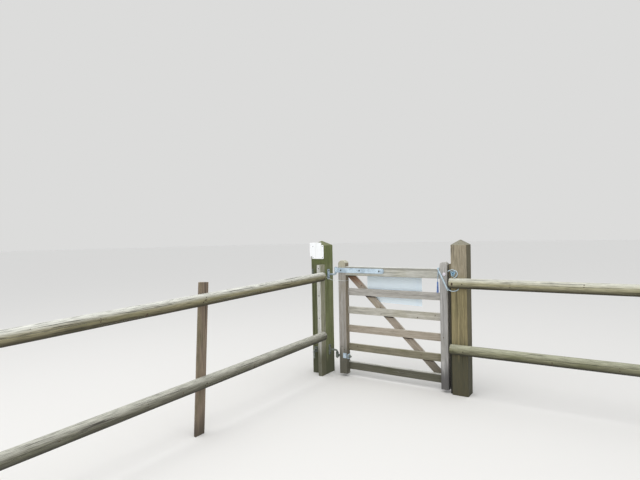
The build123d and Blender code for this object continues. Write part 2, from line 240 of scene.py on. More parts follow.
def linear(code: str) -> tuple[float, float, float, float]:
    """Turn an sRGB hex colour, such as "#8a7d5c", into linear RGBA."""
    values = [int(code[start:start + 2], 16) / 255 for start in (1, 3, 5)]
    red, green, blue = [v / 12.92 if v <= 0.04045 else ((v + 0.055) / 1.055) ** 2.4 for v in values]
    return (red, green, blue, 1.0)


def add_node(tree: bpy.types.NodeTree, kind: str, settings: dict, feeds: dict) -> bpy.types.Node:
    """Add a node, set its properties and feed its inputs.

    Args:
        tree: Node tree that takes the node.
        kind: Blender's name for the node type.
        settings: Property names and their values.
        feeds: Input names or numbers, each with a value or another node's output.

    Returns:
        The new node.
    """
    node = tree.nodes.new(kind)
    for name, value in settings.items():
        setattr(node, name, value)
    for key, value in feeds.items():
        if isinstance(value, Socket):
            tree.links.new(value, node.inputs[key])
        else:
            node.inputs[key].default_value = value
    return node


class Paint:
    """Node tree of one material, with a method for each step that the finishes share."""

    def __init__(self, name: str, roughness: float, metallic: float = 0.0) -> None:
        """Start a material with only its shader."""
        self.material = bpy.data.materials.new(name)
        self.material.use_nodes = True
        self.tree = self.material.node_tree
        self.shader = self.tree.nodes["Principled BSDF"]
        self.shader.inputs["Roughness"].default_value = roughness
        self.shader.inputs["Metallic"].default_value = metallic

    def where(self, output: str = "Object") -> Socket:
        """Give the place, or the normal, in the piece's own frame."""
        return add_node(self.tree, "ShaderNodeTexCoord", {}, {}).outputs[output]

    def noise(self, detail: float, across: float, along: float = 0.0, grain: Grain = Grain.UPRIGHT,
              roughness: float = 0.5) -> Socket:
        """Add cloudy noise with cells of a real size.

        Args:
            detail: Number of finer layers.
            across: Size of a cell across the grain.
            along: Size of a cell along the grain, or 0 for the same size.
            grain: Direction of the grain.
            roughness: Weight of the finer layers.

        Returns:
            The noise, from 0 to 1.
        """
        spread = add_node(self.tree, "ShaderNodeMapping", {"vector_type": "TEXTURE"}, {
            "Vector": self.where(), "Rotation": grain.value, "Scale": (across, across, along or across)})
        return add_node(self.tree, "ShaderNodeTexNoise", {}, {
            "Vector": spread.outputs[0], "Scale": 1.0, "Detail": detail, "Roughness": roughness}).outputs["Fac"]

    def calc(self, operation: str, *values: Socket | float, use_clamp: bool = False) -> Socket:
        """Add a sum of two or three values."""
        return add_node(self.tree, "ShaderNodeMath", {"operation": operation, "use_clamp": use_clamp},
                        dict(enumerate(values))).outputs[0]

    def ramp(self, value: Socket, low: float, high: float, share: float = 1.0, start: float = 0.0) -> Socket:
        """Turn a value between low and high smoothly into a share that runs from start to share."""
        return add_node(self.tree, "ShaderNodeMapRange", {"interpolation_type": "SMOOTHSTEP"}, {
            "Value": value, "From Min": low, "From Max": high, "To Min": start, "To Max": share,
        }).outputs["Result"]

    def coat(self, below: Socket | str, share: Socket, code: str) -> Socket:
        """Lay a share of a colour over what is below."""
        return add_node(self.tree, "ShaderNodeMix", {"data_type": "RGBA"}, {
            0: share, 6: linear(below) if isinstance(below, str) else below, 7: linear(code)}).outputs[2]

    def finish(self, colour: Socket, relief: Socket | None = None, strength: float = 0.0,
               depth: float = 0.0) -> Material:
        """Connect the colour and the relief to the shader.

        Args:
            colour: Colour of the surface.
            relief: Height of the surface.
            strength: How strongly the relief turns the light.
            depth: Real depth of the relief.

        Returns:
            The finished material.
        """
        self.tree.links.new(colour, self.shader.inputs["Base Color"])
        if relief:
            bump = add_node(self.tree, "ShaderNodeBump", {}, {
                "Height": relief, "Strength": strength, "Distance": depth})
            self.tree.links.new(bump.outputs["Normal"], self.shader.inputs["Normal"])
        return self.material


@dataclass(frozen=True)
class WeatheredTimber:
    """Sawn or peeled softwood, greyed by sun and rain, with fibres that stand up along the grain.

    The eye sees long pale and dark fibres and fine drying cracks, whose dark lines are painted shade.
    The side towards the sky is paler, partly from sun bleaching and partly as painted light; faces
    turned down are darker as painted shade, and the foot is green or muddy. The fibres are drawn about
    three times as coarse as real ones, so that they show in a picture of the whole gate. The front
    faces -Y and can take a coat of painted shade; the +X side can take a coat of painted side shade,
    made lighter as painted light on the head stile. The crown is the part above a height, with a
    colour that is painted shade on the brace and painted light on some other timbers, and a shadow
    line is a painted shadow on the front, just under another timber.
    """

    name: str
    face: str
    streak: str
    # Colour of faces turned to the sky side: sun bleaching and painted light.
    bleached: str
    # Colour of faces turned down, as painted shade; the dark fibres take it too.
    shaded: str
    damp: str
    grain: Grain
    damp_height: float = 0.22
    damp_blend: float = 0.35
    # Direction, strength and facing range of that pale coat of bleaching and painted light.
    bleach_side: Point = (0.0, 0.0, 1.0)
    bleach_share: float = 0.92
    bleach_from: tuple[float, float] = (0.25, 0.92)
    # Facing range of the painted shade on faces turned down.
    shade_from: tuple[float, float] = (0.1, 0.85)
    # Front coat: painted shade on faces turned to -Y.
    front: str = "#53563b"
    front_share: float = 0.0
    # Coat of the +X side: painted side shade, made lighter as painted light on the head stile.
    flank: str = "#6d6852"
    flank_share: float = 0.0
    # Colour above a height: painted shade under the top rail on the brace, painted light on the top of the stop batten
    # and on the bottom rail's top edge.
    crown: str = "#b0a697"
    crown_from: tuple[float, float] = (1.0, 1.15)
    crown_share: float = 0.0
    # Painted shadow lines on the front faces, just under the rails that cross in front.
    lap: str = "#2f2318"
    laps: tuple[float, ...] = ()
    lap_reach: float = 9 * MM
    stain: str = "#7c7d55"
    stain_share: float = 0.45
    # Dark colour of the fine cracks: painted shade inside them.
    crack: str = "#2a261e"
    crack_share: float = 0.8
    fibre: float = 2.5 * MM
    band: float = 16 * MM
    patch: float = 0.21
    stretch: float = 38.0

    def build(self) -> Material:
        """Make the material: noises and facings first, then one coat of colour after another, some painted light and
        shade.
        """
        paint = Paint(self.name, 0.88)
        fibre, band, crack, patch = [
            paint.noise(detail, across, along, self.grain, 0.6) for detail, across, along in (
                (5.0, self.fibre, self.fibre * self.stretch), (3.0, self.band, self.band * self.stretch),
                (1.0, 4.2 * self.fibre, 5.5 * self.fibre * self.stretch), (4.0, self.patch, 1.8 * self.patch))]
        up, down, right, front = [
            add_node(paint.tree, "ShaderNodeVectorMath", {"operation": "DOT_PRODUCT"}, {
                0: paint.where("Normal"), 1: side}).outputs["Value"]
            for side in (self.bleach_side, -UP, RIGHT, FRONT)]
        height = add_node(paint.tree, "ShaderNodeSeparateXYZ", {}, {"Vector": paint.where()}).outputs["Z"]
        wander = paint.calc("MULTIPLY_ADD", band, self.damp_blend, height)
        wet, dry = [self.damp_height + share * self.damp_blend for share in (0.2, 0.75)]
        # Dark lines of the fine cracks, as painted shade, also pressed in as relief.
        cracks = paint.ramp(crack, 0.335, 0.315, self.crack_share)
        coats = [
            (paint.ramp(band, 0.38, 0.64, 0.9), self.streak),
            (paint.ramp(patch, 0.50, 0.66, self.stain_share), self.stain),
            # Painted shade on the front faces.
            (paint.ramp(front, 0.5, 0.8, self.front_share), self.front),
            # Colour above a height: on the brace painted shade, on the stop batten and the bottom rail painted light.
            (paint.ramp(height, *self.crown_from, self.crown_share), self.crown),
            # Painted side shade and side light on the +X faces.
            (paint.ramp(right, 0.5, 0.8, self.flank_share), self.flank),
            # Pale coat on faces turned to the sky side: sun bleaching and painted light.
            (paint.ramp(up, *self.bleach_from, self.bleach_share), self.bleached),
            # Painted shade on faces turned down.
            (paint.ramp(down, *self.shade_from, 0.95), self.shaded),
            (paint.ramp(wander, dry, wet, 0.9), self.damp),
            # Dark fibres of the grain, in the colour of the painted shade.
            (paint.ramp(fibre, 0.36, 0.58, 0.0, 0.62), self.shaded),
            (cracks, self.crack),
        ]
        # Painted shadows of the rails on the brace's front, at each rail's underside.
        for lap in self.laps:
            line = paint.calc("COMPARE", height, lap, self.lap_reach)
            coats.append((paint.calc("MULTIPLY", line, front, use_clamp=True), self.lap))
        colour = self.face
        for share, code in coats:
            colour = paint.coat(colour, share, code)
        return paint.finish(colour, paint.calc("SUBTRACT", fibre, cracks), 0.6, 1.2 * MM)


@dataclass(frozen=True)
class GalvanisedSteel:
    """Mild steel dipped in molten zinc and dulled outdoors: pale blue grey with a faint spangle."""

    name: str
    bright: str
    dull: str
    metallic: float = 0.3
    roughness: float = 0.5
    spangle: float = 9 * MM

    def build(self) -> Material:
        """Make the material: flakes of zinc under slow clouds."""
        paint = Paint(self.name, self.roughness, self.metallic)
        flakes = add_node(paint.tree, "ShaderNodeTexVoronoi", {"feature": "F1"}, {
            "Vector": paint.where(), "Scale": 1 / self.spangle}).outputs["Distance"]
        mottle = paint.calc("MULTIPLY_ADD", flakes, 0.35, paint.noise(5.0, 9 * self.spangle))
        return paint.finish(paint.coat(self.bright, paint.ramp(mottle, 0.5, 0.85), self.dull), mottle, 0.25, 0.3 * MM)


@dataclass(frozen=True)
class RigidSheet:
    """Rigid plastic sheet with a plain white face, streaked by rain."""

    name: str
    white: str
    grime: str
    run_width: float = 22 * MM

    def build(self) -> Material:
        """Make the material: long upright runs of grime."""
        paint = Paint(self.name, 0.38)
        runs = paint.noise(4.0, self.run_width, 18 * self.run_width)
        return paint.finish(paint.coat(self.white, paint.ramp(runs, 0.5, 0.78, 0.6), self.grime))


@dataclass(frozen=True)
class LaidRope:
    """Polypropylene film fibre laid in three strands, its outer fibres faded and fluffed."""

    name: str
    fresh: str
    faded: str
    fibre: float = 1.4 * MM

    def build(self) -> Material:
        """Make the material: faded fluff over fresher fibre."""
        paint = Paint(self.name, 0.72)
        fluff = paint.noise(3.0, self.fibre)
        return paint.finish(paint.coat(self.fresh, paint.ramp(fluff, 0.35, 0.62), self.faded), fluff, 0.5, 0.5 * MM)


@dataclass(frozen=True)
class BranchKnot:
    """Resinous end grain of a branch cut through when the log was sawn: a dark spot, darker at its heart."""

    name: str
    rim: str
    heart: str
    ring: float = 4 * MM

    def build(self) -> Material:
        """Make the material: one cloud from rim to heart."""
        paint = Paint(self.name, 0.8)
        cloud = paint.noise(4.0, self.ring)
        return paint.finish(paint.coat(self.rim, cloud, self.heart), cloud, 0.6, 0.8 * MM)


def link(name: str, data: bpy.types.ID | None) -> Piece:
    """Put a new object into the scene."""
    thing = bpy.data.objects.new(name, data)
    bpy.context.scene.collection.objects.link(thing)
    return thing


def object_mode() -> None:
    """Leave edit mode."""
    bpy.ops.object.mode_set(mode="OBJECT")


def clear_selection() -> None:
    """Leave edit mode and deselect every object."""
    if bpy.context.object is not None and bpy.context.object.mode != "OBJECT":
        object_mode()
    for item in bpy.context.selected_objects:
        item.select_set(False)


def activate(piece: Piece) -> None:
    """Select one object alone and make it active."""
    clear_selection()
    piece.select_set(True)
    bpy.context.view_layer.objects.active = piece


def pick(piece: Piece, part: Part, test: Test) -> None:
    """Enter edit mode with only the wanted edges or faces selected.

    Args:
        piece: Mesh object to edit.
        part: Kind of element to select.
        test: Says of an element's corner points whether it is selected.
    """
    activate(piece)
    bpy.ops.object.mode_set(mode="EDIT")
    bpy.ops.mesh.select_mode(type=part.value)
    bpy.ops.mesh.select_all(action="DESELECT")
    object_mode()
    mesh = piece.data
    points = [vertex.co for vertex in mesh.vertices]
    for element in mesh.edges if part is Part.EDGE else mesh.polygons:
        element.select = test([points[number] for number in element.vertices])
    bpy.ops.object.mode_set(mode="EDIT")


def runs_along(axis: int, shortest: float) -> Test:
    """Make a test for edges that lie along an axis and are longer than a length."""
    def test(ends: list[Vector]) -> bool:
        """Say whether an edge lies along the axis."""
        run = ends[1] - ends[0]
        return run.length > shortest and abs(run[axis]) > 0.995 * run.length
    return test


def lies_at(axis: int, *places: float) -> Test:
    """Make a test for elements whose points all lie at one of some places on an axis."""
    def test(points: list[Vector]) -> bool:
        """Say whether an element lies there."""
        return any(all(abs(point[axis] - place) < TOUCH for point in points) for place in places)
    return test


def bevel(piece: Piece, width: float, segments: int, test: Test) -> None:
    """Round the edges that a test picks."""
    pick(piece, Part.EDGE, test)
    bpy.ops.mesh.bevel(offset=width, segments=segments, affect="EDGES")
    object_mode()


def trim(piece: Piece, point: Vector, normal: Vector, keep_ahead: bool = False) -> None:
    """Cut a piece through at a plane and close the cut.

    Args:
        piece: Mesh object to cut.
        point: Point on the plane.
        normal: Direction across the plane.
        keep_ahead: Whether the part on the normal's side stays, and not the other.
    """
    activate(piece)
    bpy.ops.object.mode_set(mode="EDIT")
    bpy.ops.mesh.select_all(action="SELECT")
    bpy.ops.mesh.bisect(plane_co=point, plane_no=normal, use_fill=True, clear_inner=keep_ahead,
                        clear_outer=not keep_ahead)
    object_mode()


def cut_along(piece: Piece, axis: int, spacing: float) -> None:
    """Cut the edges that lie along an axis into even lengths of about the spacing."""
    pick(piece, Part.EDGE, runs_along(axis, 1.6 * spacing))
    object_mode()
    points = [vertex.co for vertex in piece.data.vertices]
    lengths = [(points[edge.vertices[0]] - points[edge.vertices[1]]).length
               for edge in piece.data.edges if edge.select]
    if lengths:
        bpy.ops.object.mode_set(mode="EDIT")
        bpy.ops.mesh.subdivide(number_cuts=max(1, round(max(lengths) / spacing) - 1))
        object_mode()


def settle(piece: Piece, name: str) -> Piece:
    """Name a piece and move its place into its mesh."""
    activate(piece)
    bpy.ops.object.transform_apply(location=True, rotation=True, scale=True)
    piece.name = name
    clear_selection()
    return piece


def corners(node: str) -> tuple[Vector, Vector]:
    """Read the lowest and the highest corner of a solid from the frame."""
    low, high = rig.box(node)
    return Vector(low), Vector(high)


def add_block(name: str, low: Vector, high: Vector) -> Piece:
    """Add a cube at its size and place, given by its lowest and its highest corner."""
    clear_selection()
    bpy.ops.mesh.primitive_cube_add(size=1.0, location=(low + high) / 2)
    bpy.context.object.scale = high - low
    return settle(bpy.context.object, name)


def add_cylinder(name: str, sides: int, radius: float, depth: float, place: Vector | None = None,
                 rotation: Point = (0.0, 0.0, 0.0)) -> Piece:
    """Add a cylinder at its size and place.

    Args:
        name: Name of the new object.
        sides: Number of its sides.
        radius: Its radius.
        depth: Its length.
        place: Its middle. Without one, it stands on the origin.
        rotation: Its turn from upright.

    Returns:
        The cylinder, with its place in its mesh.
    """
    clear_selection()
    bpy.ops.mesh.primitive_cylinder_add(
        vertices=sides, radius=radius, depth=depth, location=place or (0.0, 0.0, depth / 2), rotation=rotation)
    return settle(bpy.context.object, name)


def join(pieces: list[Piece], name: str) -> Piece:
    """Join several meshes into one named piece, with its place in its mesh."""
    clear_selection()
    for piece in pieces:
        piece.select_set(True)
    bpy.context.view_layer.objects.active = pieces[0]
    if len(pieces) > 1:
        bpy.ops.object.join()
    return settle(pieces[0], name)


def stand(place: Vector, outward: Vector, along: Vector) -> Matrix:
    """Place a small piece on a surface.

    Args:
        place: Point on the surface.
        outward: Direction that the piece's +Z takes.
        along: Direction that the piece's +X takes, as nearly as it can.

    Returns:
        The placing matrix.
    """
    outward = outward.normalized()
    across = outward.cross(along).normalized()
    turn = Matrix((across.cross(outward), across, outward)).transposed().to_4x4()
    return Matrix.Translation(place) @ turn


def displace(piece: Piece, pattern: dict, settings: dict) -> None:
    """Move a mesh's points by a cloud pattern.

    Args:
        piece: Mesh object to change.
        pattern: Settings of the cloud texture.
        settings: Settings of the modifier.
    """
    activate(piece)
    texture = bpy.data.textures.new("clouds", "CLOUDS")
    shift = piece.modifiers.new("shift", "DISPLACE")
    shift.texture = texture
    for owner, values in ((texture, pattern), (shift, settings)):
        for name, value in values.items():
            setattr(owner, name, value)
    bpy.ops.object.modifier_apply(modifier=shift.name)
    bpy.data.textures.remove(texture)


def roughen(piece: Piece, grain: Grain, depth: float, size: tuple[float, float], shift: float) -> None:
    """Press shallow uneven relief into a piece, stretched along its grain.

    Args:
        piece: Mesh object to weather.
        grain: Direction of the timber's grain.
        depth: Greatest depth of the relief.
        size: Size of a hollow across and along the grain.
        shift: Distance that moves the pattern, so that pieces differ.
    """
    ruler = link("ruler", None)
    ruler.rotation_euler = grain.value
    ruler.location = (shift, shift, shift)
    ruler.scale = (size[0], size[0], size[1])
    bpy.context.view_layer.update()
    displace(piece, {"noise_scale": 1.0, "noise_depth": 2}, {
        "texture_coords": "OBJECT", "texture_coords_object": ruler, "mid_level": 1.0, "strength": depth})
    bpy.data.objects.remove(ruler)


def carve(piece: Piece, cutter: Piece) -> None:
    """Cut one mesh out of another and remove the cutter."""
    activate(piece)
    cut = piece.modifiers.new("cut", "BOOLEAN")
    cut.operation = "DIFFERENCE"
    cut.solver = "EXACT"
    cut.object = cutter
    bpy.ops.object.modifier_apply(modifier=cut.name)
    bpy.data.objects.remove(cutter)


@dataclass(frozen=True)
class Check:
    """Drying check: a long narrow split that opens at the surface and closes inside."""

    place: Vector
    outward: Vector
    along: Vector
    length: float
    width: float

    def cutter(self) -> Piece:
        """Model the gap of the check as a long thin blade, 3.5 times as deep as it is wide."""
        clear_selection()
        bpy.ops.mesh.primitive_uv_sphere_add(segments=20, ring_count=10, radius=1.0, rotation=(0.0, math.pi / 2, 0.0))
        blade = settle(bpy.context.object, "blade")
        size = Matrix.Diagonal((self.length / 2, self.width / 2, 3.5 * self.width, 1.0))
        blade.matrix_world = stand(self.place, self.outward, self.along) @ size
        return blade


def split(piece: Piece, checks: list[Check], wander: float = 5 * MM) -> None:
    """Cut drying checks into a timber.

    Args:
        piece: Timber to cut.
        checks: The checks, in the piece's own frame.
        wander: How far a check strays from a straight line.
    """
    if checks:
        cutter = join([check.cutter() for check in checks], "blades")
        displace(cutter, {"cloud_type": "COLOR", "noise_scale": 0.07}, {
            "texture_coords": "GLOBAL", "direction": "RGB_TO_XYZ", "strength": wander})
        carve(piece, cutter)


def smooth(piece: Piece, angle: float = 35.0) -> None:
    """Shade a piece smooth up to an angle in degrees between its faces."""
    activate(piece)
    bpy.ops.object.shade_smooth_by_angle(angle=math.radians(angle))
    clear_selection()


def deliver(piece: Piece, body: str, slot: str, material: Material, *nodes: str) -> None:
    """Finish a piece: material, body, slot and the solids that it stands for.

    Args:
        piece: Finished piece.
        body: Body that it rides on.
        slot: Material slot of the record.
        material: Its material.
        nodes: Solids that it replaces.
    """
    piece.data.materials.clear()
    piece.data.materials.append(material)
    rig.ride(piece, body)
    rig.slot(piece, slot)
    if nodes:
        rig.replaces(piece, *nodes)
    LOG.info("piece %s on %s, %d faces", piece.name, body, len(piece.data.polygons))


@dataclass
class Studio:
    """Camera at the photograph's angle, a pale floor and soft light."""

    place: Point = (2.8673, -4.4931, 1.519)
    yaw: float = -0.5716
    pitch: float = -0.0124
    roll: float = -0.0188
    focal_pixels: float = 483.18
    image_width: float = 640.0
    sensor: float = 36.0
    floor_radius: float = 70.0
    floor_colour: str = "#e6e3de"
    sky_light: str = "#f4f7fb"
    sky_colour: str = "#dcdcdb"
    bright_side: Point = (0.25, -0.45, 0.85)
    lamp_place: Vector = Vector((0.5, -3.5, 6.5))
    lamp_aim: Vector = Vector((1.0, -0.6, 0.6))
    lamp_width: float = 7.0
    lamp_power: float = 200.0

    def camera(self) -> None:
        """Set up the camera from its place, its three angles and its focal length in pixels."""
        data = bpy.data.cameras.new("photo_camera")
        data.sensor_width = self.sensor
        data.lens = self.focal_pixels / self.image_width * self.sensor
        data.clip_start, data.clip_end = 0.05, 300.0
        flat = math.cos(self.pitch)
        ahead = Vector((math.sin(self.yaw) * flat, math.cos(self.yaw) * flat, math.sin(self.pitch)))
        level = Vector((math.cos(self.yaw), -math.sin(self.yaw), 0.0))
        upward = level.cross(ahead)
        right = math.cos(self.roll) * level + math.sin(self.roll) * upward
        top = math.cos(self.roll) * upward - math.sin(self.roll) * level
        camera = link("photo_camera", data)
        camera.matrix_world = Matrix.Translation(self.place) @ Matrix((right, top, -ahead)).transposed().to_4x4()
        bpy.context.scene.camera = camera

    def floor(self) -> None:
        """Lay a pale floor that keeps the object's shadow."""
        clear_selection()
        bpy.ops.mesh.primitive_circle_add(vertices=96, radius=self.floor_radius, fill_type="NGON")
        ground = bpy.context.object
        ground.name = "floor"
        paint = Paint("matt_paper_floor", 0.95)
        paint.shader.inputs["Base Color"].default_value = linear(self.floor_colour)
        ground.data.materials.append(paint.material)
        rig.stage(ground)

    def sky(self) -> None:
        """Light the scene evenly from all round, as under an overcast sky, and show a pale backdrop."""
        world = bpy.data.worlds.new("overcast")
        world.use_nodes = True
        bpy.context.scene.world = world
        tree = world.node_tree
        tree.nodes.clear()
        place = add_node(tree, "ShaderNodeTexCoord", {}, {}).outputs["Generated"]
        side = add_node(tree, "ShaderNodeVectorMath", {"operation": "DOT_PRODUCT"}, {0: place, 1: self.bright_side})
        height = add_node(tree, "ShaderNodeMapRange", {}, {
            "Value": side.outputs["Value"], "From Min": -0.4, "From Max": 0.9, "To Min": 0.42, "To Max": 1.15})
        light = add_node(tree, "ShaderNodeBackground", {}, {
            "Color": linear(self.sky_light), "Strength": height.outputs["Result"]})
        shown = add_node(tree, "ShaderNodeBackground", {}, {"Color": linear(self.sky_colour), "Strength": 1.0})
        rays = add_node(tree, "ShaderNodeLightPath", {}, {}).outputs["Is Camera Ray"]
        share = add_node(tree, "ShaderNodeMixShader", {}, {0: rays, 1: light.outputs[0], 2: shown.outputs[0]})
        add_node(tree, "ShaderNodeOutputWorld", {}, {"Surface": share.outputs[0]})

    def lamp(self) -> None:
        """Hang one wide soft lamp above and in front."""
        data = bpy.data.lights.new("soft_box", "AREA")
        data.shape = "RECTANGLE"
        data.size = data.size_y = self.lamp_width
        data.energy = self.lamp_power
        lamp = link("soft_box", data)
        lamp.location = self.lamp_place
        lamp.rotation_euler = (self.lamp_aim - self.lamp_place).to_track_quat("-Z", "Y").to_euler()

    def build(self) -> None:
        """Set up the camera, the floor and the lights."""
        self.camera()
        self.floor()
        self.sky()
        self.lamp()
        bpy.context.scene.view_settings.view_transform = "Standard"


@dataclass
class Finishes:
    """Every finish of the gate, made once."""

    made: dict[str, Material] = field(default_factory=dict)

    def timbers(self) -> dict[str, WeatheredTimber]:
        """List the timber finishes, each matched to its own piece.

        A row gives the finish's name, its face and streak colours, its sky-side colour (sun bleaching and
        painted light), its colour of painted shade below and of the dark fibres, and its damp colour, its
        grain, and what else differs from plain timber.

        Returns:
            The finishes by label.
        """
        up, along_x, along_y = Grain.UPRIGHT, Grain.ALONG_X, Grain.ALONG_Y
        # Peeled rails: a wide pale top of bleaching and painted light, and painted shade below.
        peeled = dict(damp_height=-0.4, bleach_from=(0.0, 0.95), shade_from=(-0.1, 0.85), bleach_share=1.0)
        planed = dict(crack_share=0.3, bleach_from=(0.1, 0.5))
        rows = {
            # The hanging post's front is darkened as painted shade, where its batten stands proud.
            "hanging_post": ("algae_green_sawn_softwood", "#73784f #898d64 #888869 #4f5236 #464736", up, dict(
                damp_height=0.24, stain="#59622f", stain_share=0.65, bleach_share=0.6, front_share=0.75,
                crown="#5f6a33", crown_from=(1.16, 1.22), crown_share=0.5)),
            # The shutting post's +X side is darkened as painted shade.
            "shutting_post": ("golden_sawn_softwood", "#807656 #978b66 #909081 #574f36 #393a2d", up, dict(
                damp_height=0.46, stain="#686443", flank="#57533f", flank_share=0.9, crown="#a79d8b",
                crown_share=0.75, bleach_share=0.6)),
            # The batten's pale coat is turned to the front: sun bleaching and painted light on its front face.
            "batten": ("grey_sawn_batten", "#9a9882 #aaa791 #d6d5cf #5b5a45 #54533e", up, dict(
                damp_height=0.3, bleach_side=(0.0, -1.0, 0.1))),
            # The stop batten's dark colours are painted shade of the narrow gap; its lighter top is painted light.
            "stop_batten": ("damp_sawn_stop_batten", "#393426 #474130 #8a8370 #262218 #22221a", up, dict(
                damp_height=0.5, stain="#333422", crown="#877c63", crown_from=(1.0, 1.2), crown_share=0.85)),
            "stake": ("peeled_half_round_stake", "#7f7061 #94846f #b3a78f #55483b #4a443a", up, dict(
                damp_height=0.1, stain="#6c6c48")),
            "left_wing": ("peeled_half_round_rail", "#8d8666 #a29b7c #e4e3d8 #302b1c #565339", along_y, dict(
                stain="#7d7c56", **peeled)),
            "left_low_wing": ("grey_peeled_half_round_rail", "#6f6d5c #858375 #c8c6b8 #262319 #565339", along_y,
                              dict(stain="#6a6c52", **peeled)),
            "right_wing": ("pale_peeled_half_round_rail", "#a39d7c #b3ae90 #dfddcd #342f1e #565339", along_x,
                           dict(stain="#8c895f", **peeled)),
            "right_low_wing": ("olive_peeled_half_round_rail", "#817f64 #918f74 #b7b69d #2b291d #565339", along_x,
                               dict(stain="#6b6e48", **peeled)),
            # The heel stile's +X side is darker brown: partly painted shade, partly dirt.
            "heel_stile": ("pink_grey_planed_stile", "#a09a93 #aeaaa4 #d0cdb8 #6c6658 #4b4b40", up, dict(
                damp_height=0.30, stain="#8b8468", flank="#857a66", flank_share=0.92, crown="#c3bea4",
                crown_from=(1.08, 1.2), crown_share=0.7, **planed)),
            # The head stile's +X side is lighter as painted light, against the shade of the post beside it.
            "head_stile": ("pale_grey_planed_stile", "#a3a19e #b2b0ad #dedcd6 #716d66 #484647", up, dict(
                damp_height=0.24, stain="#969389", flank="#b5b1a3", flank_share=0.92, crown="#bdbab4",
                crown_from=(1.05, 1.2), crown_share=0.6, **planed)),
            "top_rail": ("pale_planed_top_rail", "#bfbeb5 #cac8bf #efefe9 #6b6859 #5b594b", along_x, dict(
                stain="#aeab99", crown="#827f75", crown_from=(1.14, 1.155), crown_share=0.7, **planed)),
            "second_rail": ("pink_grey_planed_rail", "#b0ada6 #bcb8b1 #dfdcd4 #6d665b #5b594b", along_x, dict(
                stain="#a39b8c", **planed)),
            "third_rail": ("straw_planed_rail", "#bbb7ac #c5c1b6 #dfddd0 #6f6a58 #5b594b", along_x, dict(
                stain="#aaa58e", **planed)),
            "fourth_rail": ("tan_planed_rail", "#a99e8f #b5ab9c #d6d1c2 #6a604f #5b594b", along_x, dict(
                stain="#9f9478", **planed)),
            "fifth_rail": ("green_tan_planed_rail", "#827c68 #908a76 #bfbba8 #544e3c #4d4b3a", along_x, dict(
                stain="#6c6c45", stain_share=0.7, **planed)),
            # The bottom rail's pale band above 0.146 m is a painted highlight along its top edge.
            "bottom_rail": ("muddy_planed_rail", "#595749 #646254 #e3e2d8 #454238 #4b4940", along_x, dict(
                damp_height=-0.2, stain="#54543c", stain_share=0.7, crown="#c4c2bb", crown_from=(0.146, 0.151),
                crown_share=0.85, **planed)),
            # The brace's red-brown top is painted shade under the top rail, and its dark lines under the lower rails
            # are painted shadows.
            "brace": ("red_brown_planed_brace", "#a5998a #b0a698 #c9c1b3 #6d6052 #5f5c50", Grain.BRACE, dict(
                damp_height=0.28, stain="#9a8f78", crown="#94694c", crown_from=(0.93, 1.06), crown_share=0.85,
                laps=(1.071, 0.858, 0.662, 0.466, 0.27), **planed)),
        }
        return {label: WeatheredTimber(name, *colours.split(), grain, **more)
                for label, (name, colours, grain, more) in rows.items()}

    def fittings(self) -> dict[str, GalvanisedSteel | RigidSheet | LaidRope | BranchKnot]:
        """List the finishes of steel, sheet, rope and knots."""
        return {
            "zinc": GalvanisedSteel("hot_dip_galvanised_steel", "#cfe0ec", "#a9bac6", 0.25),
            "hook_zinc": GalvanisedSteel("weathered_galvanised_steel", "#c3d2dd", "#909fab", 0.3, 0.55),
            "dark_zinc": GalvanisedSteel("grimy_galvanised_steel", "#939991", "#5a5f58", 0.35, 0.6),
            "bolt": GalvanisedSteel("dull_zinc_plated_bolt", "#4d5459", "#33373a", 0.5, 0.55, 4 * MM),
            "rust": GalvanisedSteel("rusted_steel_nail", "#43332a", "#2a211b", 0.1, 0.85, 2 * MM),
            "wire": GalvanisedSteel("galvanised_tying_wire", "#eef2f0", "#c6cdca", 0.1, 0.5, 3 * MM),
            "stud": GalvanisedSteel("bright_zinc_stud", "#fbf6fb", "#d9d3dc", 0.1),
            "board": RigidSheet("white_rigid_board", "#ecf8ff", "#deeefa", 60 * MM),
            "plate": RigidSheet("white_rigid_plate", "#f6f7f7", "#dfe1dd"),
            "rope": LaidRope("faded_blue_polypropylene", "#a9c1cf", "#dbe8ed"),
            "tail_rope": LaidRope("part_faded_blue_polypropylene", "#7d95ab", "#a9bcc9"),
            "knot_rope": LaidRope("part_faded_knot_polypropylene", "#6c9cb9", "#b5d2df"),
            "heart_rope": LaidRope("blue_polypropylene", "#26587e", "#4d87a8"),
            "rope_end": LaidRope("deep_blue_polypropylene", "#2f529c", "#7f9ccf"),
            "knot": BranchKnot("resinous_branch_knot", "#5b4936", "#30261c"),
        }

    def build(self) -> None:
        """Make the materials."""
        for label, finish in {**self.timbers(), **self.fittings()}.items():
            self.made[label] = finish.build()
            LOG.info("finish %s", label)

    def __getitem__(self, label: str) -> Material:
        """Look up a finish."""
        return self.made[label]

    def dress_solids(self, homes: dict[str, str]) -> None:
        """Dress solids that keep their own shape, each node with the finish given for it."""
        for node, label in homes.items():
            materials = frame["nodes"][node].data.materials
            materials.clear()
            materials.append(self.made[label])


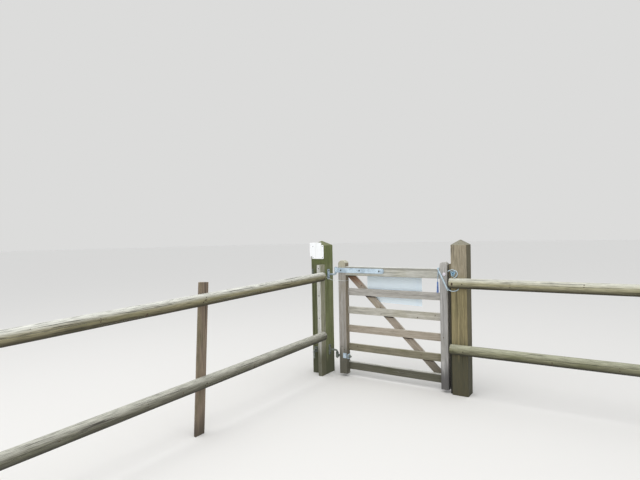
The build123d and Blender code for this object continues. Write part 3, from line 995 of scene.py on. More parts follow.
@dataclass
class Timber:
    """Square-sawn timber in the place of one solid, with worn edges, uneven faces and drying checks.

    Each check is given by the outward side of its face, its place across and along that face as
    shares, its length and its width. A timber with a span of its own stands for no solid.
    """

    node: str
    body: str
    slot: str
    finish: str
    grain: Grain = Grain.UPRIGHT
    edge: float = 3 * MM
    cell: float = 12 * MM
    relief: float = 1.2 * MM
    checks: tuple[tuple[Vector, float, float, float, float], ...] = ()
    span: tuple[Point, Point] | None = None
    grain_cells: float = 2.2
    hollow: tuple[float, float] = (45 * MM, 500 * MM)
    pit: tuple[float, float] = (9 * MM, 90 * MM)

    @property
    def name(self) -> str:
        """Name of the piece."""
        return self.node + "_timber"

    def box(self) -> tuple[Vector, Vector]:
        """Give the lowest and the highest corner of the timber."""
        return (Vector(self.span[0]), Vector(self.span[1])) if self.span else corners(self.node)

    def shape(self) -> Piece:
        """Model the timber, before it is worn."""
        block = add_block(self.name, *self.box())
        self.break_edges(block)
        return block

    def break_edges(self, piece: Piece) -> None:
        """Round the edges that run with the grain."""
        low, high = self.box()
        axis = self.grain.axis
        bevel(piece, self.edge, 2, runs_along(axis, 0.3 * (high - low)[axis]))

    def divide(self, piece: Piece) -> None:
        """Divide the faces into cells, longer with the grain."""
        for axis in range(3):
            cut_along(piece, axis, self.cell * (self.grain_cells if axis == self.grain.axis else 1.0))

    def weather(self, piece: Piece) -> None:
        """Press in the unevenness of sawing and wear."""
        low = self.box()[0]
        shift = low.x + 2.0 * low.z
        roughen(piece, self.grain, self.relief, self.hollow, shift)
        roughen(piece, self.grain, 0.4 * self.relief, self.pit, shift)

    def crack(self, piece: Piece) -> None:
        """Cut the drying checks."""
        low, high = self.box()
        grain_axis = self.grain.axis
        direction = ORIGIN.copy()
        direction[grain_axis] = 1.0
        made = []
        for outward, across, along, length, width in self.checks:
            side_axis = max(range(3), key=lambda number: abs(outward[number]))
            place = ORIGIN.copy()
            place[side_axis] = high[side_axis] if outward[side_axis] > 0 else low[side_axis]
            for axis, share in ((3 - side_axis - grain_axis, across), (grain_axis, along)):
                place[axis] = low[axis] + share * (high - low)[axis]
            made.append(Check(place, outward, direction, length, width))
        split(piece, made)

    def cut_seats(self, piece: Piece) -> None:
        """Cut what receives other timbers. A plain timber receives none."""

    def build(self, finishes: Finishes) -> None:
        """Model, wear and deliver the timber."""
        piece = self.shape()
        self.divide(piece)
        self.weather(piece)
        self.cut_seats(piece)
        self.crack(piece)
        smooth(piece)
        deliver(piece, self.body, self.slot, finishes[self.finish], *(() if self.span else (self.node,)))


@dataclass
class Post(Timber):
    """Square post with a four-way weathered top."""

    cap_rise: float = 48 * MM
    cap_flat: float = 10 * MM

    def shape(self) -> Piece:
        """Model the post with its four-way top."""
        low, high = self.box()
        shoulder = high.z - self.cap_rise
        post = add_block(self.name, low, Vector((high.x, high.y, shoulder)))
        pick(post, Part.FACE, lies_at(2, shoulder))
        bpy.ops.mesh.extrude_region_move(TRANSFORM_OT_translate={"value": (0.0, 0.0, self.cap_rise)})
        share = self.cap_flat / (high.x - low.x)
        middle = ((low.x + high.x) / 2, (low.y + high.y) / 2, high.z)
        bpy.ops.transform.resize(value=(share, share, 1.0), center_override=middle)
        object_mode()
        self.break_edges(post)
        return post


@dataclass
class Stile(Timber):
    """Leaf upright with a segmental top, housed at the back for the rails and mortised for the top rail."""

    crown: float = 28 * MM
    housed: tuple[str, ...] = ()
    tenoned: str = "top_rail"
    through: float = 2 * MM

    def shape(self) -> Piece:
        """Model the upright: the top is a slice of a round bar, drawn down to the foot."""
        low, high = self.box()
        half = (high.x - low.x) / 2
        radius = (half ** 2 + self.crown ** 2) / (2 * self.crown)
        spring = high.z - self.crown
        middle = (low + high) / 2
        upright = add_cylinder(self.name, 64, radius, high.y - low.y, Vector((middle.x, middle.y, high.z - radius)),
                               (math.radians(90), 0.0, 0.0))
        trim(upright, Vector((middle.x, middle.y, spring)), UP, keep_ahead=True)
        pick(upright, Part.FACE, lies_at(2, spring))
        bpy.ops.mesh.extrude_region_move(TRANSFORM_OT_translate={"value": (0.0, 0.0, low.z - spring)})
        object_mode()
        outline, level = lies_at(1, low.y, high.y), lies_at(2, low.z, spring)
        bevel(upright, self.edge, 2, lambda ends: outline(ends) and not level(ends))
        return upright

    def cut_seats(self, piece: Piece) -> None:
        """Cut the housings for the lower rails and the mortise for the top rail's tenon."""
        margin = Vector((SEAT_GAP, 0.0, SEAT_GAP))
        seats = []
        for rail in self.housed:
            low, high = corners(rail)
            high.y += self.through
            seats.append(add_block("seat", low - margin, high + margin))
        low, high = corners(self.tenoned)
        middle = (low + high) / 2
        half = Vector((middle.x - low.x + self.through, TENON_THICK / 2 + SEAT_GAP, TENON_HIGH / 2 + SEAT_GAP))
        seats.append(add_block("seat", middle - half, middle + half))
        carve(piece, join(seats, "seats"))


@dataclass
class Brace(Timber):
    """Diagonal planted on the backs of the rails, cut level under the strap and plumb on the stile."""

    width: float = 75 * MM

    def shape(self) -> Piece:
        """Model the brace upright, lean it over and trim its ends."""
        low, high = self.box()
        half = Vector((self.width / 2, (high.y - low.y) / 2, BRACE_RUN.length / 2 + 1.5 * self.width))
        block = add_block(self.name, -half, half)
        bevel(block, self.edge, 2, runs_along(2, 0.3 * BRACE_RUN.length))
        super().divide(block)
        centre = (BRACE_TOP + BRACE_FOOT) / 2
        centre.y = (low.y + high.y) / 2
        block.matrix_world = Matrix.Translation(centre) @ Matrix.Rotation(BRACE_TURN, 4, "Y")
        settle(block, self.name)
        for point, normal in ((high, UP), (high, RIGHT), (low, -UP)):
            trim(block, point, normal)
        return block

    def divide(self, piece: Piece) -> None:
        """Leave the cells, which were cut before the brace was leaned over."""

    def crossing(self, height: float) -> float:
        """Give the X of the brace's middle line at a height."""
        return BRACE_TOP.x + (height - BRACE_TOP.z) * BRACE_RUN.x / BRACE_RUN.z


@dataclass
class TopRail(Timber):
    """Deep top rail between the stiles, its tenons running right through them."""

    def shape(self) -> Piece:
        """Model the rail between the stiles, with the two tenons on its ends."""
        low, high = self.box()
        left, right = corners("heel_stile")[1].x, corners("head_stile")[0].x
        rail = add_block(self.name, Vector((left, low.y, low.z)), Vector((right, high.y, high.z)))
        self.break_edges(rail)
        middle = (low + high) / 2
        half = Vector((0.0, TENON_THICK / 2, TENON_HIGH / 2))
        tenons = [
            add_block("tenon", Vector((near, middle.y, middle.z)) - half, Vector((far, middle.y, middle.z)) + half)
            for near, far in ((low.x, left), (right, high.x))]
        return join([rail] + tenons, self.name)


@dataclass
class HalfRoundPole:
    """Peeled pole sawn in half, with an uneven round side, worn ends and drying checks.

    Each check is given by its angle round the pole in degrees from the middle of the round side,
    its place along as a share, its length and its width. A pole that starts below the ground by
    the sunk length is cut off level with the ground.
    """

    node: str
    slot: str
    finish: str
    start: Vector
    end: Vector
    facing: Vector
    radius: float
    end_wear: float = 5 * MM
    cell: float = 14 * MM
    swell: float = 1.5 * MM
    wave: float = 2.6 * MM
    pit: float = 0.5 * MM
    checks: tuple[tuple[float, float, float, float], ...] = ()
    sunk: float = 0.0

    def turn(self) -> Matrix:
        """Turn and place the pole, which is modelled along +Z with its round side to +X."""
        along = (self.end - self.start).normalized()
        across = along.cross(self.facing).normalized()
        outward = across.cross(along)
        return Matrix.Translation(self.start) @ Matrix((outward, across, along)).transposed().to_4x4()

    def at(self, angle: float, distance: float) -> Spot:
        """Give a place on the round side of the upright pole, and the outward direction there."""
        outward = Vector((math.cos(math.radians(angle)), math.sin(math.radians(angle)), 0.0))
        return self.radius * outward + distance * UP, outward

    def on_round(self, angle: float, distance: float) -> Spot:
        """Give such a place and direction on the finished pole."""
        place, outward = self.at(angle, distance)
        turn = self.turn()
        return turn @ place, (turn.to_3x3() @ outward).normalized()

    def build(self, finishes: Finishes) -> None:
        """Model, wear and deliver the pole."""
        length = (self.end - self.start).length
        name = self.node + "_pole"
        pole = add_cylinder(name, 44, self.radius + self.swell, length)
        trim(pole, ORIGIN, RIGHT, keep_ahead=True)
        end, flat = lies_at(2, 0.0, length), lies_at(0, 0.0)
        bevel(pole, self.end_wear, 3, lambda ends: end(ends) and not flat(ends))
        cut_along(pole, 2, self.cell)
        seed = self.start.y + self.start.z
        roughen(pole, Grain.UPRIGHT, self.wave, (70 * MM, 420 * MM), seed)
        roughen(pole, Grain.UPRIGHT, self.pit, (9 * MM, 80 * MM), seed)
        split(pole, [Check(*self.at(angle, share * length), UP, long, wide)
                     for angle, share, long, wide in self.checks])
        pole.matrix_world = self.turn()
        settle(pole, name)
        if self.sunk > 0:
            trim(pole, ORIGIN, UP, keep_ahead=True)
        smooth(pole)
        deliver(pole, FENCE, self.slot, finishes[self.finish], self.node)


@dataclass
class Assembly:
    """Part of the gate, with the small heads, nuts and knots that it sets, each modelled once and copied."""

    finishes: Finishes
    lean: Vector = Vector((0.17, 0.31, 0.94))

    def round_head(self, radius: float, rise: float) -> Piece:
        """Model a domed head at the origin."""
        head = add_cylinder("head", 16, radius, rise)
        bevel(head, 0.55 * rise, 3, lies_at(2, rise))
        pick(head, Part.FACE, lies_at(2, rise))
        bpy.ops.mesh.inset(thickness=0.25 * radius)
        object_mode()
        return head

    def hex_head(self, across: float, rise: float) -> Piece:
        """Model a six-sided head on a round washer."""
        head = add_cylinder("head", 6, across / math.sqrt(3), rise)
        pick(head, Part.FACE, lies_at(2, rise))
        bpy.ops.mesh.inset(thickness=0.12 * across)
        bpy.ops.transform.translate(value=(0.0, 0.0, 0.1 * rise))
        washer = add_cylinder("washer", 20, 0.72 * across, 0.25 * rise)
        bevel(washer, 0.06 * rise, 1, lies_at(2, 0.25 * rise))
        return join([head, washer], "head")

    def knot(self, size: float) -> Piece:
        """Model a branch knot: a shallow oval boss with a sunk middle."""
        clear_selection()
        bpy.ops.mesh.primitive_uv_sphere_add(segments=18, ring_count=9, radius=size / 2)
        bpy.context.object.scale = (1.3, 1.0, 0.22)
        boss = settle(bpy.context.object, "boss")
        pick(boss, Part.FACE, lambda points: min(point.z for point in points) > 0.095 * size)
        bpy.ops.transform.translate(value=(0.0, 0.0, -0.03 * size))
        object_mode()
        return boss

    def fix(self, head: Piece, spots: list[Spot], name: str, body: str, finish: str = "bolt",
            slot: str = "zinc_steel") -> None:
        """Set copies of a head on their spots and deliver them as one piece.

        Args:
            head: Head modelled at the origin. It is used up.
            spots: Points on the surfaces and outward directions.
            name: Name of the piece.
            body: Body that it rides on.
            finish: Its finish.
            slot: Material slot of the record.
        """
        copies = []
        for place, outward in spots:
            copies.append(link("copy", head.data.copy()))
            copies[-1].matrix_world = stand(place, outward, self.lean)
        bpy.data.objects.remove(head)
        piece = join(copies, name)
        smooth(piece)
        deliver(piece, body, slot, self.finishes[finish])


@dataclass
class GatePosts(Assembly):
    """Hanging post with its batten and plates, and shutting post with its stop batten.

    The stop batten fills the gap beside the leaf. It is only a visual piece, coloured dark as
    painted shade of the narrow gap and lighter at its top as painted light.
    """

    screw_inset: float = 14 * MM
    screw_heights: tuple[float, ...] = (0.14, 0.62, 0.86, 1.15)

    def timbers(self) -> list[Timber]:
        """List the two posts and the two battens."""
        post = dict(edge=6 * MM, relief=1.6 * MM)
        return [
            Post("hanging_post", FENCE, "green_post_timber", "hanging_post", cell=14 * MM, **post, checks=(
                (RIGHT, 0.32, 0.62, 0.55, 2.4 * MM), (RIGHT, 0.68, 0.28, 0.42, 2.0 * MM),
                (RIGHT, 0.55, 0.86, 0.20, 1.6 * MM), (FRONT, 0.14, 0.46, 1.22, 7.0 * MM),
                (BACK, 0.45, 0.55, 0.62, 2.6 * MM), (LEFT, 0.55, 0.5, 0.70, 2.6 * MM))),
            Post("shutting_post", FENCE, "tan_post_timber", "shutting_post", cell=13 * MM, **post, checks=(
                (FRONT, 0.36, 0.56, 0.66, 2.6 * MM), (FRONT, 0.66, 0.30, 0.40, 2.0 * MM),
                (FRONT, 0.78, 0.88, 0.16, 1.8 * MM), (RIGHT, 0.4, 0.55, 0.60, 2.6 * MM),
                (BACK, 0.6, 0.45, 0.55, 2.4 * MM), (LEFT, 0.45, 0.6, 0.45, 2.2 * MM))),
            Timber("hanging_batten", FENCE, "batten_timber", "batten", cell=10 * MM, checks=(
                (RIGHT, 0.55, 0.42, 0.30, 1.6 * MM), (FRONT, 0.5, 0.7, 0.22, 1.4 * MM))),
            Timber("stop_batten", FENCE, "batten_timber", "stop_batten", edge=2 * MM, cell=10 * MM,
                   relief=1.0 * MM, span=((1.436, -0.048, 0.0), (1.458, 0.027, 1.218))),
        ]

    def build(self) -> None:
        """Build the posts and the screws of the plates and the batten."""
        for timber in self.timbers():
            timber.build(self.finishes)
        low, high = corners("upper_plate")
        inset = self.screw_inset
        spots = [(Vector((x, low.y, z)), FRONT)
                 for x in (low.x + inset, high.x - inset) for z in (low.z + inset, high.z - inset)]
        self.fix(self.round_head(4.2 * MM, 1.6 * MM), spots, "plate_screws", FENCE)
        low, high = corners("hanging_batten")
        spots = [(Vector(((low.x + high.x) / 2, low.y, z)), FRONT) for z in self.screw_heights]
        self.fix(self.round_head(5 * MM, 1.6 * MM), spots, "batten_screws", FENCE, "rust")
        self.finishes.dress_solids({"upper_plate": "plate", "lower_plate": "plate"})


@dataclass
class Wings(Assembly):
    """Half-round rails and stakes at both sides of the gate.

    The nails are given by their Y on the left wing and their X on the right wing. The knots are
    given by their angle and their distance from a rail's start.
    """

    stake_lean: float = math.radians(3.8)
    stake_sunk: float = 10 * MM
    left_nails: tuple[float, ...] = (-0.155, -1.878, -3.622)
    right_nails: tuple[float, ...] = (1.485, 1.575, 3.318)
    knot_sunk: float = 2.4 * MM
    left_checks: tuple[tuple[float, float, float, float], ...] = (
        (22.0, 0.16, 0.60, 2.2 * MM), (-18.0, 0.38, 0.85, 2.6 * MM), (35.0, 0.60, 0.55, 2.2 * MM),
        (5.0, 0.80, 0.70, 2.8 * MM), (-42.0, 0.68, 0.42, 2.0 * MM))
    right_checks: tuple[tuple[float, float, float, float], ...] = (
        (20.0, 0.22, 0.50, 2.2 * MM), (-15.0, 0.55, 0.62, 2.6 * MM), (40.0, 0.80, 0.40, 2.0 * MM))

    def rail(self, node: str, finish: str, checks: tuple) -> HalfRoundPole:
        """Describe a rail from its solid's box: it faces +X on the left wing and -Y on the right wing."""
        low, high = corners(node)
        if node.startswith("left"):
            facing, radius = RIGHT, high.x - low.x
            ends = (low.x, high.y, high.z - radius), (low.x, low.y, low.z + radius)
        else:
            facing, radius = FRONT, high.y - low.y
            ends = [(x, high.y, (low.z + high.z) / 2) for x in (low.x, high.x)]
        return HalfRoundPole(node, "wing_rail_timber", finish, *map(Vector, ends), facing, radius, checks=checks)

    def stake(self, node: str, facing: Vector, lean: float) -> HalfRoundPole:
        """Describe a stake from its solid's box.

        Args:
            node: Solid that the stake stands for.
            facing: Side that its round side faces.
            lean: Angle by which its top leans towards +Y.

        Returns:
            The stake.
        """
        low, high = corners(node)
        radius = min(high.x - low.x, high.y - low.y)
        if facing is LEFT:
            foot = Vector((high.x, low.y + radius / math.cos(lean), 0.0))
        else:
            foot = Vector(((low.x + high.x) / 2, low.y, 0.0))
        along = Vector((0.0, math.sin(lean), math.cos(lean)))
        top = foot + along * (high.z - radius * math.sin(lean)) / along.z
        return HalfRoundPole(
            node, "stake_timber", "stake", foot - self.stake_sunk * along, top, facing, radius,
            end_wear=4 * MM, wave=1.8 * MM, checks=((10.0, 0.6, 0.5, 2.2 * MM),), sunk=self.stake_sunk)

    def build(self) -> None:
        """Build the rails, the stakes, their nails and their knots."""
        left_top = self.rail("left_top_rail", "left_wing", self.left_checks)
        left_low = self.rail("left_bottom_rail", "left_low_wing", self.left_checks[::-1])
        right_top = self.rail("right_top_rail", "right_wing", self.right_checks)
        right_low = self.rail("right_bottom_rail", "right_low_wing", self.right_checks[::-1])
        for pole in (
            left_top, left_low, right_top, right_low, self.stake("left_middle_stake", LEFT, self.stake_lean),
            self.stake("left_end_stake", LEFT, 0.0), self.stake("right_end_stake", BACK, 0.0),
        ):
            pole.build(self.finishes)

        nails = []
        for pole in (left_top, left_low):
            for y in self.left_nails:
                nails += [pole.on_round(4.0, pole.start.y - y), pole.on_round(-14.0, pole.start.y - y + 16 * MM)]
        for pole in (right_top, right_low):
            nails += [pole.on_round(3.0, x - pole.start.x) for x in self.right_nails]
        self.fix(self.round_head(5 * MM, 1.8 * MM), nails, "wing_nails", FENCE, "rust")

        near = right_top.start.x
        knots = []
        for pole, places in (
            (left_low, ((-8, 1.19), (20, 1.57), (-12, 1.98), (6, 2.28), (-20, 2.63), (14, 2.88), (30, 0.52))),
            (left_top, ((-25, 1.09), (15, 1.73), (-30, 2.27), (5, 2.61), (25, 3.02), (18, 0.62))),
            (right_top, ((4, 1.481 - near), (0, 1.989 - near), (-30, 2.550 - near))),
            (right_low, ((-41, 1.652 - near), (20, 2.31 - near), (0, 2.787 - near))),
        ):
            for angle, distance in places:
                place, outward = pole.on_round(angle, distance)
                knots.append((place - self.knot_sunk * outward, outward))
        self.fix(self.knot(22 * MM), knots, "wing_knots", FENCE, "knot", "wing_rail_timber")


@dataclass
class SignBoard(Assembly):
    """Bare board behind the rails, its lower edge out of level and its lower left corner cut off."""

    edge_left: Vector = Vector((0.533, 0.0, 0.807))
    edge_right: Vector = Vector((1.133, 0.0, 0.786))
    round: float = 0.8 * MM

    def build(self) -> None:
        """Model the board: a block, trimmed below and along the brace, with rounded rims."""
        low, high = corners("sign_board")
        board = add_block("sign_board_sheet", low, high)
        slope = self.edge_right - self.edge_left
        for point, run in ((self.edge_left, slope), (BRACE_TOP, BRACE_RUN)):
            trim(board, point, Vector((run.z, 0.0, -run.x)))
        bevel(board, self.round, 2, lies_at(1, low.y, high.y))
        smooth(board)
        deliver(board, LEAF, "white_board", self.finishes["board"], "sign_board")


@dataclass
class Leaf(Assembly):
    """The swinging leaf: stiles, rails, brace, board and their fixings."""

    low_rails: tuple[str, ...] = ("bottom_rail", "fifth_rail", "fourth_rail", "third_rail", "second_rail")
    strap_bolts: tuple[float, ...] = (0.271, 0.494, 0.718)
    board_screws: tuple[tuple[float, float], ...] = ((0.801, 1.123), (1.103, 1.123), (1.103, 0.900))
    nail_sunk: float = 0.5 * MM
    knot_proud: float = 1.2 * MM

    def timbers(self) -> list[Timber]:
        """List the stiles and the rails."""
        stile = dict(edge=5 * MM, cell=10 * MM, housed=self.low_rails)
        timbers = [
            Stile("heel_stile", LEAF, "stile_timber", "heel_stile", **stile, checks=(
                (FRONT, 0.62, 0.60, 0.34, 1.6 * MM), (FRONT, 0.3, 0.36, 0.26, 1.4 * MM),
                (RIGHT, 0.3, 0.42, 0.25, 1.4 * MM), (LEFT, 0.45, 0.6, 0.40, 1.8 * MM))),
            Stile("head_stile", LEAF, "stile_timber", "head_stile", **stile, checks=(
                (FRONT, 0.42, 0.30, 0.16, 0.6 * MM), (RIGHT, 0.5, 0.5, 0.45, 1.8 * MM))),
            TopRail("top_rail", LEAF, "rail_timber", "top_rail", Grain.ALONG_X, edge=5 * MM, cell=10 * MM),
        ]
        for node, check in zip(self.low_rails, (
            (FRONT, 0.5, 0.62, 0.30, 1.2 * MM), (FRONT, 0.55, 0.42, 0.26, 1.0 * MM),
            (FRONT, 0.35, 0.30, 0.20, 0.9 * MM), (FRONT, 0.66, 0.80, 0.12, 0.6 * MM),
            (FRONT, 0.4, 0.72, 0.14, 0.6 * MM),
        )):
            timbers.append(Timber(node, LEAF, "rail_timber", node, Grain.ALONG_X, edge=2 * MM, cell=10 * MM,
                                  relief=1.0 * MM, checks=(check,)))
        return timbers

    def nails(self, brace: Brace) -> list[Spot]:
        """Give the places of the nails from the rails to the stiles and from the brace to the rails."""
        back = corners("head_stile")[1].y - self.nail_sunk
        brace_back = corners("diagonal_brace")[1].y - self.nail_sunk
        middles = [(left.x + right.x) / 2 for left, right in (corners("heel_stile"), corners("head_stile"))]
        spots = []
        for node in self.low_rails:
            low, high = corners(node)
            centre = (low.z + high.z) / 2
            joints = [(middle, back, 11 * MM, 17 * MM) for middle in middles]
            if node != "bottom_rail":
                joints.append((brace.crossing(centre), brace_back, 16 * MM, -12 * MM))
            spots += [(Vector((middle + side * across, depth, centre + side * rise)), BACK)
                      for middle, depth, across, rise in joints for side in (-1.0, 1.0)]
        return spots

    def knots(self) -> list[Spot]:
        """Give the places of the branch knots of the brace, the rails and the stiles."""
        spots = []
        for node, places in (
            ("diagonal_brace", ((0.475, 0.967), (0.689, 0.751), (0.919, 0.509))),
            ("third_rail", ((0.708, 0.687), (1.101, 0.682), (1.132, 0.318), (0.430, 0.325), (1.280, 0.712))),
            ("heel_stile", ((0.268, 0.318), (0.296, 0.286), (1.376, 0.520))),
        ):
            front = corners(node)[0].y + self.knot_proud
            spots += [(Vector((x, front, z)), FRONT) for x, z in places]
        return spots

    def build(self) -> None:
        """Build the leaf."""
        for timber in self.timbers():
            timber.build(self.finishes)
        brace = Brace("diagonal_brace", LEAF, "brace_timber", "brace", Grain.BRACE, edge=2 * MM, cell=12 * MM)
        brace.build(self.finishes)
        SignBoard(self.finishes).build()
        board_back = corners("sign_board")[1].y
        low, high = corners("double_strap")
        level = (low.z + high.z) / 2
        screws = [(Vector((x, board_back, z)), BACK) for x, z in self.board_screws]
        heads = [(Vector((x, low.y, level)), FRONT) for x in self.strap_bolts]
        nuts = [(Vector((x, high.y, level)), BACK) for x in self.strap_bolts]
        self.fix(self.round_head(4 * MM, 1.6 * MM), self.nails(brace), "leaf_nails", LEAF, "rust")
        self.fix(self.round_head(5 * MM, 2 * MM), screws, "board_screws", LEAF)
        self.fix(self.round_head(8 * MM, 4 * MM), heads, "strap_bolt_heads", LEAF)
        self.fix(self.hex_head(17 * MM, 8 * MM), nuts, "strap_bolt_nuts", LEAF)
        self.fix(self.knot(11 * MM), self.knots(), "leaf_knots", LEAF, "knot", "rail_timber")
        self.finishes.dress_solids({
            "board_packers": "brace", "double_strap": "zinc", "eye_bolt": "dark_zinc", "eye_bolt_washers": "zinc",
            "heel_plate": "zinc", "head_stud": "stud"})


@dataclass
class Hooks(Assembly):
    """Hooks on their plates, with the screws that hold the plates."""

    plate: float = 8 * MM

    def build(self) -> None:
        """Dress the hooks and set their screws."""
        post_low, post_high = corners("hanging_post")
        spots = []
        for node, finish, outward, centre, reach in (
            ("top_hook", "hook_zinc", RIGHT, 1.0797, 40 * MM),
            ("bottom_hook", "dark_zinc", RIGHT, 0.2603, 40 * MM),
            ("front_top_hook", "dark_zinc", FRONT, 1.052, 21 * MM),
            ("front_bottom_hook", "dark_zinc", FRONT, 0.2603, 21 * MM),
        ):
            self.finishes.dress_solids({node: finish})
            low, high = corners(node)
            place = (low + high) / 2
            if outward is RIGHT:
                place.x = post_high.x + self.plate
            else:
                place.y = post_low.y - self.plate
            spots += [(Vector((place.x, place.y, z)), outward) for z in (centre - reach, centre + reach)]
        self.fix(self.hex_head(10 * MM, 5 * MM), spots, "hook_screws", FENCE)


def ease_corners(points: list[Vector], reach: float, closed: bool) -> list[Vector]:
    """Add a point on each side of every corner, so that a smooth route turns close to it.

    Args:
        points: Corners of the route.
        reach: Distance of the added points from their corner.
        closed: Whether the route is a ring.

    Returns:
        The control points.
    """
    count = len(points)
    result = []
    for number, corner in enumerate(points):
        if not closed and number in (0, count - 1):
            result.append(corner)
            continue
        for other in (points[number - 1], corner, points[(number + 1) % count]):
            result.append(corner + reach * (other - corner).normalized())
    return result


def length_of(line: list[Vector]) -> float:
    """Measure a line of points."""
    return sum((after - before).length for before, after in zip(line, line[1:]))


@dataclass
class Rope:
    """Three-strand rope along a smooth route."""

    name: str
    radius: float = 4 * MM
    lay: float = 26 * MM
    strands: int = 3
    step: float = 3 * MM

    def curve(self, kind: str, points: list[Vector], closed: bool) -> tuple[bpy.types.Curve, bpy.types.Spline]:
        """Start a curve with one spline through its points."""
        curve = bpy.data.curves.new(self.name, "CURVE")
        curve.dimensions = "3D"
        curve.resolution_u = 10
        spline = curve.splines.new(kind)
        spline.points.add(len(points) - 1)
        for point, place in zip(spline.points, points):
            point.co = (*place, 1.0)
        spline.use_cyclic_u = closed
        return curve, spline

    def mesh(self, curve: bpy.types.Curve) -> bpy.types.Mesh:
        """Turn a curve into a mesh and remove it."""
        holder = bpy.data.objects.new(self.name, curve)
        mesh = bpy.data.meshes.new_from_object(holder)
        bpy.data.objects.remove(holder)
        bpy.data.curves.remove(curve)
        return mesh

    def even_line(self, points: list[Vector], closed: bool) -> list[Vector]:
        """Walk the route's NURBS spline in steps of equal length.

        Args:
            points: Control points of the route.
            closed: Whether the route is a ring.

        Returns:
            Points of the smooth line.
        """
        curve, spline = self.curve("NURBS", points, closed)
        spline.order_u = 3
        spline.use_endpoint_u = not closed
        mesh = self.mesh(curve)
        line = [vertex.co.copy() for vertex in mesh.vertices]
        bpy.data.meshes.remove(mesh)
        ring = line + [line[0]] if closed else line
        total = length_of(ring)
        count = max(4, round(total / self.step))
        stops = [total * number / count for number in range(count if closed else count + 1)]
        walked = 0.0
        result = []
        for before, after in zip(ring, ring[1:]):
            run = (after - before).length
            while len(result) < len(stops) and stops[len(result)] <= walked + run + 0.001 * MM:
                share = (stops[len(result)] - walked) / run if run > 0 else 0.0
                result.append(before.lerp(after, min(share, 1.0)))
            walked += run
        return result

    def tube(self, line: list[Vector], radius: float, closed: bool = False) -> Piece:
        """Sweep a round strand along a line and make it a mesh."""
        curve = self.curve("POLY", line, closed)[0]
        curve.bevel_depth = radius
        curve.bevel_resolution = 1
        curve.use_fill_caps = True
        return link(self.name + "_strand", self.mesh(curve))

    def lay_strands(self, points: list[Vector], closed: bool = False) -> tuple[Piece, list[Vector]]:
        """Twist the strands round the route.

        Args:
            points: Control points of the route.
            closed: Whether the route is a ring.

        Returns:
            The rope and the points of its middle line.
        """
        line = self.even_line(points, closed)
        count = len(line)
        turns = max(1, round(self.step * count / self.lay))
        strands = [[] for _ in range(self.strands)]
        side = Vector((0.37, 0.55, 0.75))
        for number, place in enumerate(line):
            before = line[number - 1] if closed or number > 0 else place
            after = line[(number + 1) % count] if closed or number < count - 1 else place
            along = (after - before).normalized()
            side = (side - side.dot(along) * along).normalized()
            other = along.cross(side)
            for strand, route in enumerate(strands):
                angle = math.tau * (turns * number / count + strand / self.strands)
                route.append(place + 0.5 * self.radius * (math.cos(angle) * side + math.sin(angle) * other))
        rope = join([self.tube(route, 0.53 * self.radius, closed) for route in strands], self.name)
        smooth(rope, 60.0)
        return rope, line


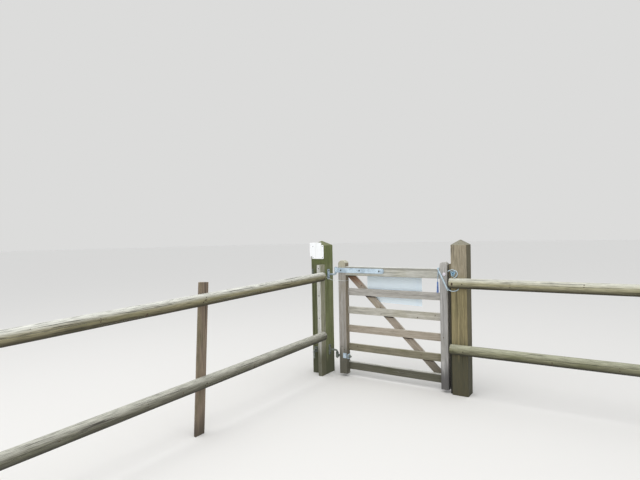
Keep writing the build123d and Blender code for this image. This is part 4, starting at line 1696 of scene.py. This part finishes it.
@dataclass
class RopeWork(Assembly):
    """Blue rope that ties the leaf: a loop and a hanging end on the leaf, two bights and a knot at the post."""

    diameter: float = 8 * MM
    loop_top: Vector = Vector((1.334, -0.0195, 1.1743))
    loop_foot: Vector = Vector((1.4243, -0.0195, 0.984))
    loop_reach: Vector = Vector((0.0, 41.8 * MM, 0.0))
    loop_bend: float = 18.6 * MM
    turn_top: Vector = Vector((-0.0085, 0.0, 0.0))
    turn_foot: Vector = Vector((0.0, 0.0, -0.017))
    knot_reach: float = 24 * MM
    knot_depth: float = 8 * MM
    heart_width: float = 5 * MM
    heart_height: float = 13 * MM
    outer_yarns: int = 10
    core_yarns: int = 5
    yarn: float = 1.5 * MM
    fray: float = 35 * MM
    tail: tuple[Point, ...] = (
        (1.338, -0.0613, 1.165), (1.335, -0.0653, 1.112), (1.330, -0.0643, 1.060), (1.330, -0.0643, 1.012))
    lower_bight: tuple[Point, ...] = (
        (1.5316, -0.0793, 0.990), (1.522, -0.0793, 0.977), (1.497, -0.0793, 0.967), (1.459, -0.0793, 0.966),
        (1.434, -0.0793, 0.981))
    upper_bight: tuple[Point, ...] = (
        (1.489, -0.0793, 1.0917), (1.508, -0.0793, 1.099), (1.524, -0.0793, 1.120), (1.521, -0.0793, 1.147),
        (1.496, -0.0793, 1.162), (1.462, -0.0793, 1.166), (1.434, -0.0793, 1.150))

    def lay(self, name: str, routes: list[list[Vector]], body: str, finish: str, *nodes: str,
            closed: bool = True) -> tuple[Piece, list[Vector]]:
        """Lay ropes as one piece.

        Args:
            name: Name of the piece.
            routes: Control points of each rope.
            body: Body that it rides on.
            finish: Its finish.
            nodes: Solids that it replaces.
            closed: Whether each rope is a ring.

        Returns:
            The piece and the middle line of its last rope.
        """
        laid = [Rope(name, self.diameter / 2).lay_strands(route, closed) for route in routes]
        rope = join([piece for piece, _ in laid], name)
        deliver(rope, body, "blue_rope", self.finishes[finish], *nodes)
        return rope, laid[-1][1]

    def hang(self, name: str, route: tuple[Point, ...], body: str, finish: str, *nodes: str,
             pieces: tuple[Piece, ...] = ()) -> None:
        rope, line = self.lay(name, [[Vector(point) for point in route]], body, finish, *nodes, closed=False)
        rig.cord(rope, exit=route[0], length=length_of(line), diameter=self.diameter, far_end="bare",
                stiffness="limp", lay="hanging", path=line, with_pieces=pieces)

    def loop_routes(self) -> list[list[Vector]]:
        """Give the two turns round the head stile, each with slanting legs joined over the top rail and below."""
        reach = self.loop_reach
        routes = []
        for number in range(2):
            top = self.loop_top + number * self.turn_top
            foot = self.loop_foot + number * self.turn_foot
            routes.append(ease_corners([top - reach, foot - reach, foot + reach, top + reach], self.loop_bend, True))
        return routes

    def knot_centre(self, depth: float) -> Vector:
        """Give the middle of the knot at a depth in front of the post."""
        low, high = corners("post_knot")
        return Vector(((low.x + high.x) / 2, high.y - depth, (low.z + high.z) / 2))

    def heart_route(self) -> list[Vector]:
        """Give the small upright ring that shows through the middle of the knot."""
        centre = self.knot_centre(self.knot_depth)
        turns = [math.tau * number / 12 for number in range(12)]
        return [centre + Vector((self.heart_width * math.cos(turn), 0.0, self.heart_height * math.sin(turn)))
                for turn in turns]

    def knot_route(self) -> list[Vector]:
        """Give the overhand knot as a ring with three crossings."""
        centre = self.knot_centre(self.knot_depth + self.diameter / 2)
        turns = [math.tau * number / 48 for number in range(48)]
        return [centre + Vector((
            self.knot_reach * (math.sin(turn) + 2 * math.sin(2 * turn)) / 3, -self.knot_depth * math.sin(3 * turn),
            self.knot_reach * (math.cos(turn) - 2 * math.cos(2 * turn)) / 3)) for turn in turns]

    def frayed_end(self) -> Piece:
        """Model the unlaid end: yarns that lie round the rope, then come loose and spread."""
        draw = random.Random(11)
        rope = Rope("frayed_rope_end")
        meet = Vector(self.tail[-1])
        foot = corners("rope_end")[0].z
        yarns = []
        for number in range(self.outer_yarns + self.core_yarns):
            outer = number < self.outer_yarns
            start = meet.z + (self.fray if outer else -2 * MM)
            finish = foot + draw.uniform(0.0, 14.0) * MM
            near = self.diameter / 2 + self.yarn if outer else 2 * MM
            far = draw.uniform(7.0, 11.5) * MM if outer else draw.uniform(2.5, 5.0) * MM
            angle = math.tau * number / (self.outer_yarns if outer else self.core_yarns) + draw.uniform(-0.2, 0.2)
            line = []
            for stop in range(13):
                share = stop / 12
                reach = near + (far - near) * share ** 2
                turn = angle + 1.1 * share + 0.25 * math.sin(9.0 * share + number)
                line.append(Vector((meet.x + reach * math.cos(turn), meet.y + reach * math.sin(turn),
                                    start + (finish - start) * share)))
            yarns.append(rope.tube(line, self.yarn))
        piece = join(yarns, rope.name)
        smooth(piece, 60.0)
        deliver(piece, LEAF, "dark_blue_rope", self.finishes["rope_end"], "rope_end")
        return piece

    def build(self) -> None:
        """Lay every rope of the tie."""
        end = self.frayed_end()
        self.hang("rope_tail_strands", self.tail, LEAF, "tail_rope", "rope_tail", pieces=(end,))
        self.hang("lower_bight_strands", self.lower_bight, FENCE, "rope", "post_lashings")
        self.hang("upper_bight_strands", self.upper_bight, FENCE, "rope")
        self.lay("leaf_loop_strands", self.loop_routes(), LEAF, "rope", "leaf_lashing")
        self.lay("tie_knot_strands", [self.knot_route()], FENCE, "knot_rope", "post_knot")
        self.lay("knot_heart_strands", [self.heart_route()], FENCE, "heart_rope")


@dataclass
class TyingWire(Assembly):
    """Galvanised wire that runs from the hanging post and winds round the heel stile under the strap."""

    radius: float = 1.75 * MM
    bend: float = 8 * MM
    blend_start: Point = (0.0875, -0.065, 1.04)
    blend_end: Point = (0.2285, -0.065, 1.04)
    route: tuple[Point, ...] = (
        (0.0840, -0.0750, 1.0620), (0.1150, -0.0720, 1.0380), (0.1700, -0.0660, 1.0220), (0.2330, -0.0590, 1.0195),
        (0.3270, -0.0590, 1.0180), (0.3270, 0.0200, 1.0185), (0.2330, 0.0200, 1.0205), (0.2330, -0.0590, 1.0245),
        (0.2620, -0.0595, 1.0250))

    def build(self) -> None:
        """Wind the wire and let it bend between the two bodies."""
        rope = Rope("tying_wire", step=2 * MM)
        points = ease_corners([Vector(point) for point in self.route], self.bend, closed=False)
        wire = join([rope.tube(rope.even_line(points, closed=False), self.radius)], rope.name)
        smooth(wire, 60.0)
        wire.data.materials.append(self.finishes["wire"])
        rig.slot(wire, "zinc_steel")
        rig.blend(wire, FENCE, LEAF, start=self.blend_start, end=self.blend_end)
        LOG.info("piece %s between %s and %s, %d faces", wire.name, FENCE, LEAF, len(wire.data.polygons))


def main() -> None:
    """Build the stage, the finishes and the pieces."""
    logging.basicConfig(level=logging.INFO, format="%(message)s")
    Studio().build()
    finishes = Finishes()
    finishes.build()
    for assembly in (RopeWork, TyingWire, GatePosts, Wings, Leaf, Hooks):
        assembly(finishes).build()
    with open("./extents.json", "w") as out:
        json.dump({"cad": [list(point) for point in CAD_BOX], "visual": [list(point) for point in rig.bounds()]}, out)


if __name__ == "__main__":
    main()
